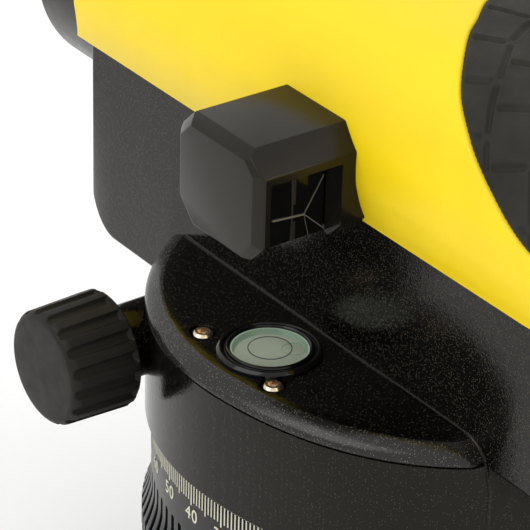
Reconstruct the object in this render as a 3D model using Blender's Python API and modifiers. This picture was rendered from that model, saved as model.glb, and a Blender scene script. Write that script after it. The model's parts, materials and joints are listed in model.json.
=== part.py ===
"""Automatic level (surveyor's self-levelling telescope), built as an assembly of separate pieces.

Frame: metres, +Z up. The origin is on the vertical axis, at the underside of the base plate.
+Y is the line of sight, towards the objective, and +X is the observer's right-hand side.
"""
import math

import bmesh
import bpy
from mathutils import Matrix, Vector

MM = 0.001
GAP = 0.3 * MM            # clearance between neighbouring pieces
RUN = 0.4 * MM            # clearance of pieces that turn or slide in one another

# ---- driving dimensions ----
CIRCLE_R = 50.0 * MM      # radius of the graduated band of the horizontal circle
DECK_Z = 82.0 * MM        # height of the shelf that carries the circular level
SIGHT_Z = 114.5 * MM      # height of the line of sight
HALF_LENGTH = 93.8 * MM   # front rim of the objective barrel and rear rim of the eyecup
BARREL_R = 23.9 * MM
BODY_HALF_W = 26.1 * MM   # half width of the lower housing
HOUSING_LOW = DECK_Z - 11.5 * MM  # underside of the housing's nose, in front of the drum
COVER_TOP = 144.5 * MM
COVER_LOW = 110.1 * MM    # lower edge of the top cover
COVER_FRONT = 70.5 * MM
COVER_REAR = -76.0 * MM
WALL = 2.6 * MM
# Behind the last full section the body narrows towards the eyepiece: (y, share of the full width).
TAPER = ((-58.0 * MM, 1.0), (-66.0 * MM, 0.97), (-71.0 * MM, 0.89))
TAPER_END = 0.76

# ---- levelling base ----
PLATE_T = 5.0 * MM
TRIPOD_HOLE_R = 7.6 * MM  # 5/8 inch tripod screw
TRIPOD_BOSS_R = 15.0 * MM
TRIPOD_BOSS_Z = 10.0 * MM
FOOT_RADIUS = 44.0 * MM
FOOT_ANGLES = (90, 210, 330)
FOOT_KNOB_R = 12.5 * MM
FOOT_KNOB_Z = (9.0 * MM, 20.5 * MM)
TRIBRACH_Z = (22.0 * MM, 31.2 * MM)
SPRING_Z = (5.4 * MM, 6.6 * MM)
SPINDLE_R = 9.0 * MM        # bearing surface of the vertical axis
SEAT_R = 10.0 * MM          # its foot in the tribrach

# ---- horizontal circle ----
KNURL_R = 51.7 * MM
CIRCLE_Z = (32.2 * MM, 56.8 * MM)
KNURL_TOP = 42.4 * MM
KNURL_SHOULDER = 43.2 * MM
CIRCLE_WEB_Z = (35.0 * MM, 42.4 * MM)
HUB_R = 25.2 * MM

# ---- drum of the rotating upper part ----
DRUM_R = 51.0 * MM
DRUM_Z = 57.3 * MM
DRUM_WALL = 3.4 * MM
DECK_T = 4.0 * MM
DRUM_BULGE = 4.2 * MM     # how far the rear corners of the drum stand out of its circle
DRUM_REAR = -48.0 * MM    # flat rear face
BUSH_R = 12.6 * MM        # bush that runs on the vertical spindle

# ---- endless drive ----
DRIVE_Y = 28.0 * MM
DRIVE_Z = 72.2 * MM
WHEEL_TEETH = 60
WHEEL_PITCH_R = 24.0 * MM
WHEEL_T = 3.2 * MM
SHAFT_R = 3.0 * MM
SHAFT_HALF_LENGTH = 57.5 * MM
KNOB_OUT = 65.0 * MM
KNOB_IN = 50.8 * MM
KNOB_R = 11.0 * MM
COLLAR_R = 6.8 * MM
COLLAR_IN = 38.0 * MM

# ---- focusing drive ----
FOCUS_Y = 10.0 * MM
RACK_PITCH = 2.0 * MM
PINION_TEETH = 11
PINION_R = PINION_TEETH * RACK_PITCH / (2 * math.pi)
RACK_LINE = SIGHT_Z - 13.45 * MM
FOCUS_Z = RACK_LINE - PINION_R
FOCUS_ROD_R = 2.4 * MM
FOCUS_KNOB_R = 13.0 * MM

# ---- circular level and its viewing prism ----
VIAL_X, VIAL_Y = -37.5 * MM, -2.4 * MM
BEZEL_R = 9.0 * MM
VIAL_R = 6.9 * MM
CUP_R = 8.4 * MM
VIAL_SCREWS = ((-43.3 * MM, 9.5 * MM), (-43.5 * MM, -11.6 * MM))
HOOD_X = (-50.5 * MM, -20.0 * MM)
HOOD_Y = (-15.9 * MM, 9.6 * MM)
HOOD_Z = (108.5 * MM, 128.0 * MM)
HOOD_WALL = 1.5 * MM

# ---- compensator ----
PENDULUM_Z = 132.7 * MM   # where the suspension bands leave the frame

for old in list(bpy.data.objects):
    bpy.data.objects.remove(old, do_unlink=True)


def new_collection(name):
    made = bpy.data.collections.new(name)
    bpy.context.scene.collection.children.link(made)
    return made


PARTS = new_collection("automatic_level")
CUTTERS = new_collection("cutters")


# ------------------------------------------------------------------ materials
def make_material(name, colour, roughness, metallic=0.0):
    made = bpy.data.materials.new(name)
    made.use_nodes = True
    shader = made.node_tree.nodes["Principled BSDF"]
    shader.inputs["Base Color"].default_value = (*colour, 1.0)
    shader.inputs["Roughness"].default_value = roughness
    shader.inputs["Metallic"].default_value = metallic
    return made


YELLOW = make_material("yellow_paint", (0.93, 0.66, 0.02), 0.35)
CASTING = make_material("grey_casting", (0.055, 0.05, 0.047), 0.45)
BLACK = make_material("black_plastic", (0.012, 0.012, 0.012), 0.4)
RUBBER = make_material("black_rubber", (0.02, 0.02, 0.02), 0.7)
STEEL = make_material("steel", (0.6, 0.6, 0.6), 0.3, 1.0)
BRASS = make_material("brass", (0.75, 0.55, 0.25), 0.3, 1.0)
ALUMINIUM = make_material("black_aluminium", (0.05, 0.05, 0.05), 0.4, 1.0)
GLASS = make_material("optical_glass", (0.75, 0.85, 0.8), 0.05)
VIAL_GLASS = make_material("vial_green", (0.62, 0.78, 0.66), 0.08)


# ------------------------------------------------------------------ shape helpers
def add_object(name, mesh, material, collection=PARTS):
    made = bpy.data.objects.new(name, mesh)
    collection.objects.link(made)
    if material is None:
        made.hide_render = True
        made.display_type = "WIRE"
    else:
        mesh.materials.append(material)
    return made


def smooth(mesh, angle=35):
    mesh.shade_smooth()
    mesh.set_sharp_from_angle(angle=math.radians(angle))


def set_pivot(made, point):
    """Move an object's origin to a point of its joint's axis, leaving its shape in place."""
    made.data.transform(Matrix.Translation(-Vector(point)))
    made.location = point


def collection_for(material):
    return CUTTERS if material is None else PARTS


def bake(made):
    """Replace an object's mesh by its evaluated shape, so that later cuts see plain faces."""
    bpy.context.view_layer.update()
    graph = bpy.context.evaluated_depsgraph_get()
    mesh = bpy.data.meshes.new_from_object(made.evaluated_get(graph))
    made.modifiers.clear()
    made.data = mesh
    return made


def turned(name, profile, material, at=(0, 0, 0), axis="Z", segments=24, closed=False):
    """A turned piece. The profile lists (radius, height) down the outer side; a closed one is a ring."""
    mesh = bpy.data.meshes.new(name)
    verts = [(r, 0, h) for r, h in profile]
    edges = [(i, i + 1) for i in range(len(profile) - 1)]
    if closed:
        edges.append((len(profile) - 1, 0))
    mesh.from_pydata(verts, edges, [])
    made = add_object(name, mesh, material, collection_for(material))
    screw = made.modifiers.new("turn", "SCREW")
    screw.steps = screw.render_steps = segments
    screw.use_merge_vertices = True
    screw.merge_threshold = 0.00001
    made.location = at
    if axis == "X":
        made.rotation_euler = (0, math.pi / 2, 0)
    elif axis == "Y":
        made.rotation_euler = (-math.pi / 2, 0, 0)
    bake(made)
    smooth(made.data)
    return made


def ring(name, outer, inner, low, high, material, **placing):
    """A plain tube between two heights."""
    profile = [(outer, high), (outer, low), (inner, low), (inner, high)]
    return turned(name, profile, material, closed=True, **placing)


def disc(name, radius, low, high, material, **placing):
    return turned(name, [(0, high), (radius, high), (radius, low), (0, low)], material, **placing)


def box(name, low, high, material, bevel=0.0, segments=2):
    bpy.ops.mesh.primitive_cube_add(size=1)
    made = bpy.context.active_object
    for owner in list(made.users_collection):
        owner.objects.unlink(made)
    collection_for(material).objects.link(made)
    made.name = name
    low, high = Vector(low), Vector(high)
    size = high - low
    made.data.transform(Matrix.Translation((low + high) / 2) @ Matrix.Diagonal((*size, 1)))
    if material is None:
        made.hide_render = True
        made.display_type = "WIRE"
    else:
        made.data.materials.append(material)
    if bevel:
        edge = made.modifiers.new("edge", "BEVEL")
        edge.width = bevel
        edge.segments = segments
        bake(made)
        smooth(made.data)
    return made


def extruded(name, outline, low, high, material, axis="Z"):
    """A flat outline (counter-clockwise) pushed out between two heights along an axis."""
    shape = bmesh.new()
    verts = [shape.verts.new((u, v, low)) for u, v in outline]
    face = shape.faces.new(verts)
    pushed = bmesh.ops.extrude_face_region(shape, geom=[face])
    top = [item for item in pushed["geom"] if isinstance(item, bmesh.types.BMVert)]
    bmesh.ops.translate(shape, verts=top, vec=(0, 0, high - low))
    bmesh.ops.recalc_face_normals(shape, faces=shape.faces)
    turn = {"Z": Matrix.Identity(4),
            "X": Matrix(((0, 0, 1, 0), (1, 0, 0, 0), (0, 1, 0, 0), (0, 0, 0, 1))),
            "Y": Matrix(((0, 1, 0, 0), (0, 0, 1, 0), (1, 0, 0, 0), (0, 0, 0, 1)))}[axis]
    bmesh.ops.transform(shape, matrix=turn, verts=shape.verts)
    mesh = bpy.data.meshes.new(name)
    shape.to_mesh(mesh)
    shape.free()
    return add_object(name, mesh, material, collection_for(material))


def loft(name, sections, material):
    """A solid skin through closed sections that have the same number of points."""
    shape = bmesh.new()
    rings = [[shape.verts.new(point) for point in section] for section in sections]
    count = len(rings[0])
    for one, other in zip(rings, rings[1:]):
        for i in range(count):
            j = (i + 1) % count
            shape.faces.new((one[i], one[j], other[j], other[i]))
    shape.faces.new(rings[0])
    shape.faces.new(rings[-1])
    bmesh.ops.recalc_face_normals(shape, faces=shape.faces)
    mesh = bpy.data.meshes.new(name)
    shape.to_mesh(mesh)
    shape.free()
    return add_object(name, mesh, material, collection_for(material))


def boolean(made, cutter, operation):
    step = made.modifiers.new(cutter.name, "BOOLEAN")
    step.object = cutter
    step.operation = operation
    step.solver = "EXACT"
    bake(made)
    return made


def cut(made, *cutters):
    for cutter in cutters:
        boolean(made, cutter, "DIFFERENCE")
    return made


def join(made, *others):
    for other in others:
        boolean(made, other, "UNION")
    return made


def arc(centre, radius, start, end, steps):
    """Points of an arc, angles in degrees, both ends included."""
    points = []
    for i in range(steps + 1):
        angle = math.radians(start + (end - start) * i / steps)
        points.append((centre[0] + radius * math.cos(angle), centre[1] + radius * math.sin(angle)))
    return points


def three_armed(corner_r, waist_r, arc_steps=6):
    """Outline of a three-armed plate: a round end at each foot screw and a waist between them."""
    points = []
    for angle in FOOT_ANGLES:
        turn = math.radians(angle)
        centre = (FOOT_RADIUS * math.cos(turn), FOOT_RADIUS * math.sin(turn))
        points += arc(centre, corner_r, angle - 80, angle + 80, arc_steps)
        points += arc((0, 0), waist_r, angle + 42, angle + 78, 3)
    return points


# ------------------------------------------------------------------ levelling base
def build_base():
    plate = extruded("base_plate", three_armed(13.5 * MM, 36 * MM), 0, PLATE_T, CASTING)
    join(plate, disc("tripod_boss", TRIPOD_BOSS_R, PLATE_T / 2, TRIPOD_BOSS_Z, None))
    cut(plate, disc("tripod_bore", TRIPOD_HOLE_R, -MM, TRIPOD_BOSS_Z + MM, None))
    spring = extruded("spring_plate", three_armed(8.5 * MM, 24 * MM, 4), *SPRING_Z, STEEL)
    cut(spring, disc("spring_bore", TRIPOD_BOSS_R + RUN, 4 * MM, 8 * MM, None))
    tribrach = extruded("tribrach", three_armed(10.5 * MM, 32 * MM), *TRIBRACH_Z, CASTING)
    shoulder = turned("tribrach_hub", [(0, 43 * MM), (HUB_R, 43 * MM), (HUB_R, 34.6 * MM),
                                       (28.8 * MM, 34.6 * MM), (28.8 * MM, 26 * MM), (0, 26 * MM)], None)
    join(tribrach, shoulder)
    cut(tribrach, disc("spindle_seat", SEAT_R + GAP, 20 * MM, 45 * MM, None))
    for index, angle in enumerate(FOOT_ANGLES, start=1):
        build_foot_screw(index, math.radians(angle), plate, spring, tribrach)
    turned("axis_spindle", [(0, 77 * MM), (SPINDLE_R, 77 * MM), (SPINDLE_R, 50 * MM), (13 * MM, 50 * MM),
                            (13 * MM, 43.4 * MM), (SEAT_R, 43.4 * MM), (SEAT_R, 23.5 * MM), (0, 23.5 * MM)],
           STEEL)
    disc("spindle_nut", 11 * MM, 77.4 * MM, 79.8 * MM, BRASS)


def build_foot_screw(index, turn, plate, spring, tribrach):
    """One levelling screw: ball end held in the base plate by the spring plate, knob, threaded spindle."""
    at = (FOOT_RADIUS * math.cos(turn), FOOT_RADIUS * math.sin(turn), 0)
    cut(plate, disc(f"socket_{index}", 5.2 * MM, 1.9 * MM, 9 * MM, None, at=at, segments=16))
    cut(spring, disc(f"neck_hole_{index}", 3.2 * MM, 4 * MM, 9 * MM, None, at=at, segments=16))
    cut(tribrach, disc(f"thread_bore_{index}", 3.9 * MM, 20 * MM, 35 * MM, None, at=at, segments=16))
    turned(f"foot_spindle_{index}",
           [(0, 30.6 * MM), (3.5 * MM, 30.6 * MM), (3.5 * MM, 8.4 * MM), (2.7 * MM, 8 * MM),
            (2.7 * MM, 5.6 * MM), (4.6 * MM, 4.6 * MM), (4.6 * MM, 3.4 * MM), (3 * MM, 2.3 * MM),
            (0, 2.3 * MM)], STEEL, at=at, segments=16)
    low, high = FOOT_KNOB_Z
    rim = FOOT_KNOB_R
    turned(f"foot_knob_{index}",
           [(rim - 1.2 * MM, high), (rim, high - 1.2 * MM), (rim, low + 1.2 * MM), (rim - 1.2 * MM, low),
            (3.5 * MM + GAP, low), (3.5 * MM + GAP, high)], RUBBER, at=at, segments=28, closed=True)


# ------------------------------------------------------------------ horizontal circle
def build_circle():
    low, high = CIRCLE_Z
    inner = CIRCLE_R - 2.2 * MM
    web_low, web_high = CIRCLE_WEB_Z
    turned("horizontal_circle",
           [(CIRCLE_R, high), (CIRCLE_R, KNURL_SHOULDER), (KNURL_R, KNURL_TOP), (KNURL_R, low),
            (KNURL_R - 3 * MM, low), (KNURL_R - 3 * MM, web_low), (HUB_R + RUN, web_low),
            (HUB_R + RUN, web_high), (inner, web_high), (inner, high)], BLACK, segments=48, closed=True)


# ------------------------------------------------------------------ drum
def drum_radius(angle):
    """Radius of the drum's outline: a circle whose two rear corners stand out smoothly."""
    from_rear = abs(math.degrees(math.atan2(math.cos(angle), -math.sin(angle))))
    blend = min(max((80 - from_rear) / 50, 0), 1)
    return DRUM_R + DRUM_BULGE * blend * blend * (3 - 2 * blend)


def drum_outline(inset=0.0, steps=60):
    """Counter-clockwise outline, cut off flat at the rear."""
    rear = DRUM_REAR + inset
    points = []
    for i in range(steps):
        angle = math.radians(-90 + 360 * i / steps)
        radius = drum_radius(angle) - inset
        x, y = radius * math.cos(angle), radius * math.sin(angle)
        if y > rear + 0.5 * MM:
            points.append((x, y))
    corner = math.sqrt((DRUM_R + DRUM_BULGE - inset) ** 2 - rear ** 2)
    return [(corner, rear)] + points + [(-corner, rear)]


def build_drum():
    floor_top = DRUM_Z + 3.7 * MM
    drum = extruded("drum", drum_outline(), DRUM_Z, DECK_Z, CASTING)
    cut(drum, extruded("drum_hollow", drum_outline(DRUM_WALL), floor_top, DECK_Z - DECK_T, None))
    join(drum, disc("drum_boss", 16.2 * MM, floor_top - MM, 69.6 * MM, None))
    for side in (-1, 1):
        reach = sorted((side * 36 * MM, side * 60 * MM))
        boss = box(f"bush_boss_{side}", (reach[0], DRIVE_Y - 10 * MM, floor_top - MM),
                   (reach[1], DRIVE_Y + 9 * MM, DECK_Z - MM), None)
        boolean(boss, extruded(f"boss_limit_{side}", drum_outline(MM), 50 * MM, 90 * MM, None), "INTERSECT")
        join(drum, boss)
        cut(drum, disc(f"bush_hole_{side}", COLLAR_R + GAP, reach[0] - MM, reach[1] + MM, None,
                       at=(0, DRIVE_Y, DRIVE_Z), axis="X"))
    cut(drum, disc("bush_bore", BUSH_R + GAP, 50 * MM, DECK_Z - 1.2 * MM, None),
        disc("vial_hole", CUP_R + GAP, 70 * MM, 90 * MM, None, at=(VIAL_X, VIAL_Y, 0)))
    for number, (x, y) in enumerate(VIAL_SCREWS, start=1):
        cut(drum, disc(f"screw_head_room_{number}", 2.35 * MM, DECK_Z - 1.6 * MM, 90 * MM, None,
                       at=(x, y, 0), segments=16),
            disc(f"screw_shank_room_{number}", 1.5 * MM, 70 * MM, 85 * MM, None, at=(x, y, 0), segments=12))
    smooth(drum.data, 25)
    ring("axis_bush", BUSH_R, SPINDLE_R + RUN, 58.6 * MM, 69.6 * MM, BRASS)


# ------------------------------------------------------------------ worm drive
def toothed_outline(teeth, tip_r, root_r, tip_share, root_share, phase=0.0):
    """Straight-sided teeth: each has a flat tip and a flat root, given as shares of the pitch."""
    points = []
    pitch = 2 * math.pi / teeth
    for i in range(teeth):
        middle = phase + i * pitch
        for radius, offset in ((root_r, -0.5 + root_share / 2), (tip_r, -tip_share / 2),
                               (tip_r, tip_share / 2), (root_r, 0.5 - root_share / 2)):
            angle = middle + offset * pitch
            points.append((radius * math.cos(angle), radius * math.sin(angle)))
    return points


def worm_thread(name, root_r, tip_r, pitch, turns):
    """Helical thread ridge along X at the drive axis, closed at both ends, to be joined to the shaft."""
    mesh = bpy.data.meshes.new(name)
    low = -pitch * turns / 2
    profile = [(tip_r, low + 0.1 * pitch), (tip_r, low - 0.1 * pitch),
               (root_r - 0.6 * MM, low - 0.37 * pitch), (root_r - 0.6 * MM, low + 0.37 * pitch)]
    mesh.from_pydata([(r, 0, h) for r, h in profile], [(0, 1), (1, 2), (2, 3), (3, 0)], [])
    thread = add_object(name, mesh, None, CUTTERS)
    helix = thread.modifiers.new("helix", "SCREW")
    helix.steps = helix.render_steps = 10
    helix.screw_offset = pitch
    helix.iterations = turns
    bake(thread)
    shape = bmesh.new()
    shape.from_mesh(thread.data)
    bmesh.ops.holes_fill(shape, edges=shape.edges, sides=4)
    bmesh.ops.recalc_face_normals(shape, faces=shape.faces)
    shape.to_mesh(thread.data)
    shape.free()
    thread.data.transform(Matrix.Rotation(math.pi / 2, 4, "Z"))
    thread.location = (0, DRIVE_Y, DRIVE_Z)
    thread.rotation_euler = (0, math.pi / 2, 0)
    return thread


def build_drive():
    pitch = 2 * math.pi * WHEEL_PITCH_R / WHEEL_TEETH
    facing = math.pi / 2 + math.pi / WHEEL_TEETH
    wheel = extruded("worm_wheel", toothed_outline(WHEEL_TEETH, WHEEL_PITCH_R + 0.45 * MM,
                                                   WHEEL_PITCH_R - 0.75 * MM, 0.22, 0.46, facing),
                     DRIVE_Z - WHEEL_T / 2, DRIVE_Z + WHEEL_T / 2, BRASS)
    cut(wheel, disc("wheel_bore", SPINDLE_R + RUN, 60 * MM, 90 * MM, None))
    worm_r = DRIVE_Y - WHEEL_PITCH_R
    shaft = disc("drive_shaft", SHAFT_R, -SHAFT_HALF_LENGTH, SHAFT_HALF_LENGTH, STEEL,
                 at=(0, DRIVE_Y, DRIVE_Z), axis="X", segments=16)
    join(shaft, worm_thread("worm_thread", SHAFT_R, worm_r + 0.4 * MM, pitch, 7))
    for side, name in ((-1, "left"), (1, "right")):
        build_drive_end(side, name)


def build_drive_end(side, name):
    """Bush in the drum wall and fluted rubber knob, mirrored for the two ends of the shaft."""
    at = (0, DRIVE_Y, DRIVE_Z)
    bore_end = SHAFT_HALF_LENGTH + GAP
    bush = [(COLLAR_R, COLLAR_IN), (COLLAR_R, KNOB_IN - GAP), (SHAFT_R + RUN, KNOB_IN - GAP),
            (SHAFT_R + RUN, COLLAR_IN)]
    knob = [(SHAFT_R + GAP, KNOB_IN), (SHAFT_R + GAP, bore_end), (0, bore_end), (0, KNOB_OUT),
            (KNOB_R - 2.1 * MM, KNOB_OUT - 0.4 * MM), (KNOB_R - 0.8 * MM, KNOB_OUT - 1.2 * MM),
            (KNOB_R - 0.3 * MM, KNOB_OUT - 2.4 * MM), (KNOB_R, KNOB_IN + MM), (KNOB_R - 0.8 * MM, KNOB_IN)]
    if side > 0:
        turned(f"drive_bush_{name}", bush[::-1], BLACK, at=at, axis="X", closed=True)
        turned(f"drive_knob_{name}", knob[3:] + knob[:3], RUBBER, at=at, axis="X", segments=28)
    else:
        turned(f"drive_bush_{name}", [(r, -h) for r, h in bush], BLACK, at=at, axis="X", closed=True)
        flipped = [(r, -h) for r, h in knob[3:] + knob[:3]]
        turned(f"drive_knob_{name}", flipped[::-1], RUBBER, at=at, axis="X", segments=28)


# ------------------------------------------------------------------ circular level
def build_vial():
    at = (VIAL_X, VIAL_Y, 0)
    outline = arc((VIAL_X, VIAL_Y), 11 * MM, -60, 60, 10)
    for number, start in ((1, 60), (2, 180)):
        outline += arc(VIAL_SCREWS[number - 1], 2.2 * MM, start, start + 120, 4)
    plate = extruded("vial_plate", outline, 75.2 * MM, 77.2 * MM, STEEL)
    for number, (x, y) in enumerate(VIAL_SCREWS, start=1):
        cut(plate, disc(f"lug_bore_{number}", 1.5 * MM, 70 * MM, 80 * MM, None, at=(x, y, 0), segments=12))
        build_vial_screw(number, x, y)
    cut(plate, disc("cup_room", CUP_R + GAP, 70 * MM, 80 * MM, None, at=at))
    bore = VIAL_R + GAP
    turned("vial_cup",
           [(0, 75 * MM), (bore, 75 * MM), (bore, 81.9 * MM), (CUP_R, 81.9 * MM),
            (CUP_R, 73.6 * MM), (0, 73.6 * MM)], BLACK, at=at)
    ring("vial_bezel", BEZEL_R, bore, 82.3 * MM, 83.3 * MM, BLACK, at=at)
    turned("circular_vial", [(0, 82.7 * MM), (5 * MM, 82.4 * MM), (VIAL_R, 81.7 * MM), (VIAL_R, 75.4 * MM),
                             (0, 75.4 * MM)], VIAL_GLASS, at=at)


def build_vial_screw(number, x, y):
    """Button-head adjusting screw with a hexagonal socket, its head sunk in the deck."""
    seat = DECK_Z - 1.2 * MM
    screw = turned(f"vial_screw_{number}",
                   [(0, seat + 1.5 * MM), (1.4 * MM, seat + 1.4 * MM), (1.85 * MM, seat + 0.9 * MM),
                    (1.85 * MM, seat), (1.1 * MM, seat), (1.1 * MM, 74.5 * MM), (0, 74.5 * MM)],
                   STEEL, at=(x, y, 0), segments=12)
    cut(screw, extruded(f"hex_{number}", arc((x, y), 0.85 * MM, 0, 300, 5), seat + 0.7 * MM, seat + 3 * MM,
                        None))


# ------------------------------------------------------------------ housing and cover
def cover_section(grow=0.0, shrink=1.0, low=COVER_LOW):
    """Right half of the cover's outline as (x, z): curved skirt, crease, leaning side, rounded roof."""
    side = [(28.0, 28.1), (29.5, 31.8), (30.9, 36.6), (30.9, 42.0), (29.9, 46.0), (27.4, 53.0),
            (23.5, 58.0), (17.0, 61.0), (8.0, 62.3), (0.0, 62.5)]
    points = []
    for index, (x, height) in enumerate(side):
        before = Vector(side[max(index - 1, 0)])
        after = Vector(side[min(index + 1, len(side) - 1)])
        along = (after - before).normalized()
        outward = Vector((along.y, -along.x))
        if index == 0:
            outward = Vector((1, 0))
        spot = Vector((x, height)) * MM + outward * grow
        z = DECK_Z + spot.y
        points.append((spot.x * shrink if x else 0.0, SIGHT_Z + (z - SIGHT_Z) * shrink))
    points[0] = (points[0][0], low)
    return points


def cover_solid(name, grow, low, front, rear, material):
    """The cover's outer form, grown or shrunk by a wall: straight, then narrowing to the eyepiece."""
    sections = []
    for y, shrink in ((front, 1.0), *TAPER, (rear, TAPER_END)):
        half = cover_section(grow, shrink, low)
        outline = half + [(-x, z) for x, z in reversed(half[:-1])]
        sections.append([(x, y, z) for x, z in outline])
    return loft(name, sections, material)


def grip_outline(back=0.0):
    """Side view (y, z) of the rubber grip's field: behind a sweeping line, above the skirt."""
    line = [(-59.0, 42.7), (-52.7, 45.2), (-47.0, 48.1), (-42.0, 51.2), (-37.4, 54.4), (-32.7, 57.5),
            (-27.7, 59.9), (-21.5, 61.6), (-10.0, 63.2), (0.0, 75.0)]
    points = [(-90 * MM, DECK_Z + 75 * MM), (-90 * MM, DECK_Z + 39.0 * MM + back),
              (-68 * MM, DECK_Z + 40.2 * MM + back)]
    points += [(y * MM - back, DECK_Z + z * MM + back) for y, z in line]
    return points


def housing_blank():
    """Side outline with a round front corner, narrowed in plan towards the rear."""
    top, low_rear = COVER_LOW - GAP, DECK_Z - 4 * MM
    front, rear, corner = 71.2 * MM, -74 * MM, 7.5 * MM
    side = [(front, top), (rear, top)] + arc((rear + 6 * MM, low_rear + 6 * MM), 6 * MM, 180, 270, 4)
    side += [(-30 * MM, low_rear), (-20 * MM, HOUSING_LOW)]
    side += arc((front - corner, HOUSING_LOW + corner), corner, -90, 0, 6)
    blank = extruded("housing", side, -BODY_HALF_W, BODY_HALF_W, CASTING, axis="X")
    plan = [(BODY_HALF_W * share, y) for y, share in ((front + MM, 1.0), *TAPER, (rear - MM, TAPER_END))]
    plan += [(-x, y) for x, y in reversed(plan)]
    return boolean(blank, extruded("housing_plan", plan, 40 * MM, 130 * MM, None), "INTERSECT")


def build_housing():
    housing = housing_blank()
    drum_room = extruded("drum_room", drum_outline(-RUN), 50 * MM, DECK_Z + GAP, None)
    hollow = box("housing_hollow", (-BODY_HALF_W + WALL, -62 * MM, DECK_Z + 3 * MM),
                 (BODY_HALF_W - WALL, 68.2 * MM, 140 * MM), None)
    front_hollow = box("front_hollow", (-BODY_HALF_W + WALL, 55 * MM, HOUSING_LOW + WALL),
                       (BODY_HALF_W - WALL, 68.2 * MM, 95 * MM), None)
    cut(housing, drum_room, hollow, front_hollow)
    barrel_hole = disc("barrel_hole", BARREL_R + GAP, 60 * MM, 100 * MM, None, at=(0, 0, SIGHT_Z),
                       axis="Y", segments=40)
    eyepiece_hole = disc("eyepiece_hole", 12 * MM + GAP, -100 * MM, -60 * MM, None, at=(0, 0, SIGHT_Z),
                         axis="Y")
    shaft_hole = disc("focus_hole", 5.5 * MM + GAP, 10 * MM, 40 * MM, None, at=(0, FOCUS_Y, FOCUS_Z),
                      axis="X", segments=20)
    cut(housing, barrel_hole, eyepiece_hole, shaft_hole)

    cover = cover_solid("top_cover", 0.0, COVER_LOW, COVER_FRONT, COVER_REAR, YELLOW)
    cavity = cover_solid("cover_cavity", -3.2 * MM, COVER_LOW - 5 * MM, COVER_FRONT - 2.6 * MM,
                         COVER_REAR + 3 * MM, None)
    field = extruded("grip_field", grip_outline(), -50 * MM, 50 * MM, None, axis="X")
    cut(field, cover_solid("grip_floor", -1.7 * MM, COVER_LOW - 5 * MM, COVER_FRONT + 5 * MM,
                           COVER_REAR + 1.7 * MM, None))
    cut(cover, cavity, field, barrel_hole, eyepiece_hole)
    grip = cover_solid("rear_grip", 0.0, COVER_LOW, COVER_FRONT, COVER_REAR, RUBBER)
    boolean(grip, extruded("grip_trim", grip_outline(GAP), -50 * MM, 50 * MM, None, axis="X"), "INTERSECT")
    cut(grip, cover_solid("grip_under", -1.4 * MM, COVER_LOW - 5 * MM, COVER_FRONT + 5 * MM,
                          COVER_REAR + 1.4 * MM, None), eyepiece_hole)
    for piece in (housing, cover, grip):
        smooth(piece.data, 30)

    sight = box("peep_sight", (-3 * MM, 22 * MM, COVER_TOP + GAP), (3 * MM, 46 * MM, COVER_TOP + 3.8 * MM),
                BLACK, bevel=0.6 * MM, segments=1)
    cut(sight, box("sight_notch", (-0.8 * MM, 20 * MM, COVER_TOP + 2 * MM),
                   (0.8 * MM, 50 * MM, COVER_TOP + 6 * MM), None))


def build_hood():
    hood = box("prism_hood", (HOOD_X[0], HOOD_Y[0], HOOD_Z[0]), (HOOD_X[1], HOOD_Y[1], HOOD_Z[1]), BLACK,
               bevel=2.2 * MM, segments=1)
    inside = box("hood_inside", (HOOD_X[0] + HOOD_WALL, HOOD_Y[0] - 5 * MM, HOOD_Z[0] - 5 * MM),
                 (-33.6 * MM, HOOD_Y[1] - HOOD_WALL, HOOD_Z[1] - 4.6 * MM), None)
    body_room = cover_solid("hood_seat", GAP, COVER_LOW - GAP, 90 * MM, -90 * MM, None)
    wall_room = box("hood_wall_seat", (-BODY_HALF_W - GAP, -90 * MM, 90 * MM), (40 * MM, 90 * MM, 115 * MM),
                    None)
    cut(hood, inside, body_room, wall_room)
    smooth(hood.data, 20)
    y0, z0 = HOOD_Y[0] + 2 * MM, HOOD_Z[0] + 1 * MM
    side = 12.0 * MM
    outline = [(y0, z0), (y0 + side, z0), (y0 + 1.42 * side, z0 + 0.72 * side),
               (y0 + side, z0 + 1.08 * side),
               (y0, z0 + side)]
    extruded("bubble_prism", outline, HOOD_X[0] + HOOD_WALL + GAP, -33.9 * MM, GLASS, axis="X")


# ------------------------------------------------------------------ telescope
def build_telescope():
    at = (0, 0, SIGHT_Z)
    rim, bore, front = BARREL_R, 20.6 * MM, HALF_LENGTH
    turned("objective_barrel",
           [(rim - 0.8 * MM, front), (rim, front - 0.8 * MM), (rim, 63 * MM), (18 * MM, 63 * MM),
            (18 * MM, 66 * MM), (bore, 66 * MM), (bore, front)], ALUMINIUM, at=at, axis="Y", segments=40,
           closed=True)
    ring("objective_ring", bore - GAP, 17.4 * MM, 74.4 * MM, 77.4 * MM, BLACK, at=at, axis="Y")
    turned("objective_lens", [(0, 75.6 * MM), (10 * MM, 75.0 * MM), (17 * MM, 73.2 * MM),
                              (bore - GAP, 73.2 * MM), (bore - GAP, 66.4 * MM), (0, 66.4 * MM)],
           GLASS, at=at, axis="Y")
    tube = ring("focus_tube", 13.4 * MM, 11.8 * MM, -6 * MM, 54 * MM, ALUMINIUM, at=at, axis="Y")
    cut(tube, box("rack_slot", (-3.5 * MM, -14 * MM, 90 * MM), (3.5 * MM, 44 * MM, SIGHT_Z - 6 * MM), None))
    ring("focus_cell", 11.4 * MM, 9.0 * MM, 10 * MM, 26 * MM, BRASS, at=at, axis="Y")
    turned("focusing_lens",
           [(0, 19.5 * MM), (8.6 * MM, 21 * MM), (8.6 * MM, 15 * MM), (0, 16.5 * MM)], GLASS,
           at=at, axis="Y")
    build_focus_drive()
    build_eyepiece(at)


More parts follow.
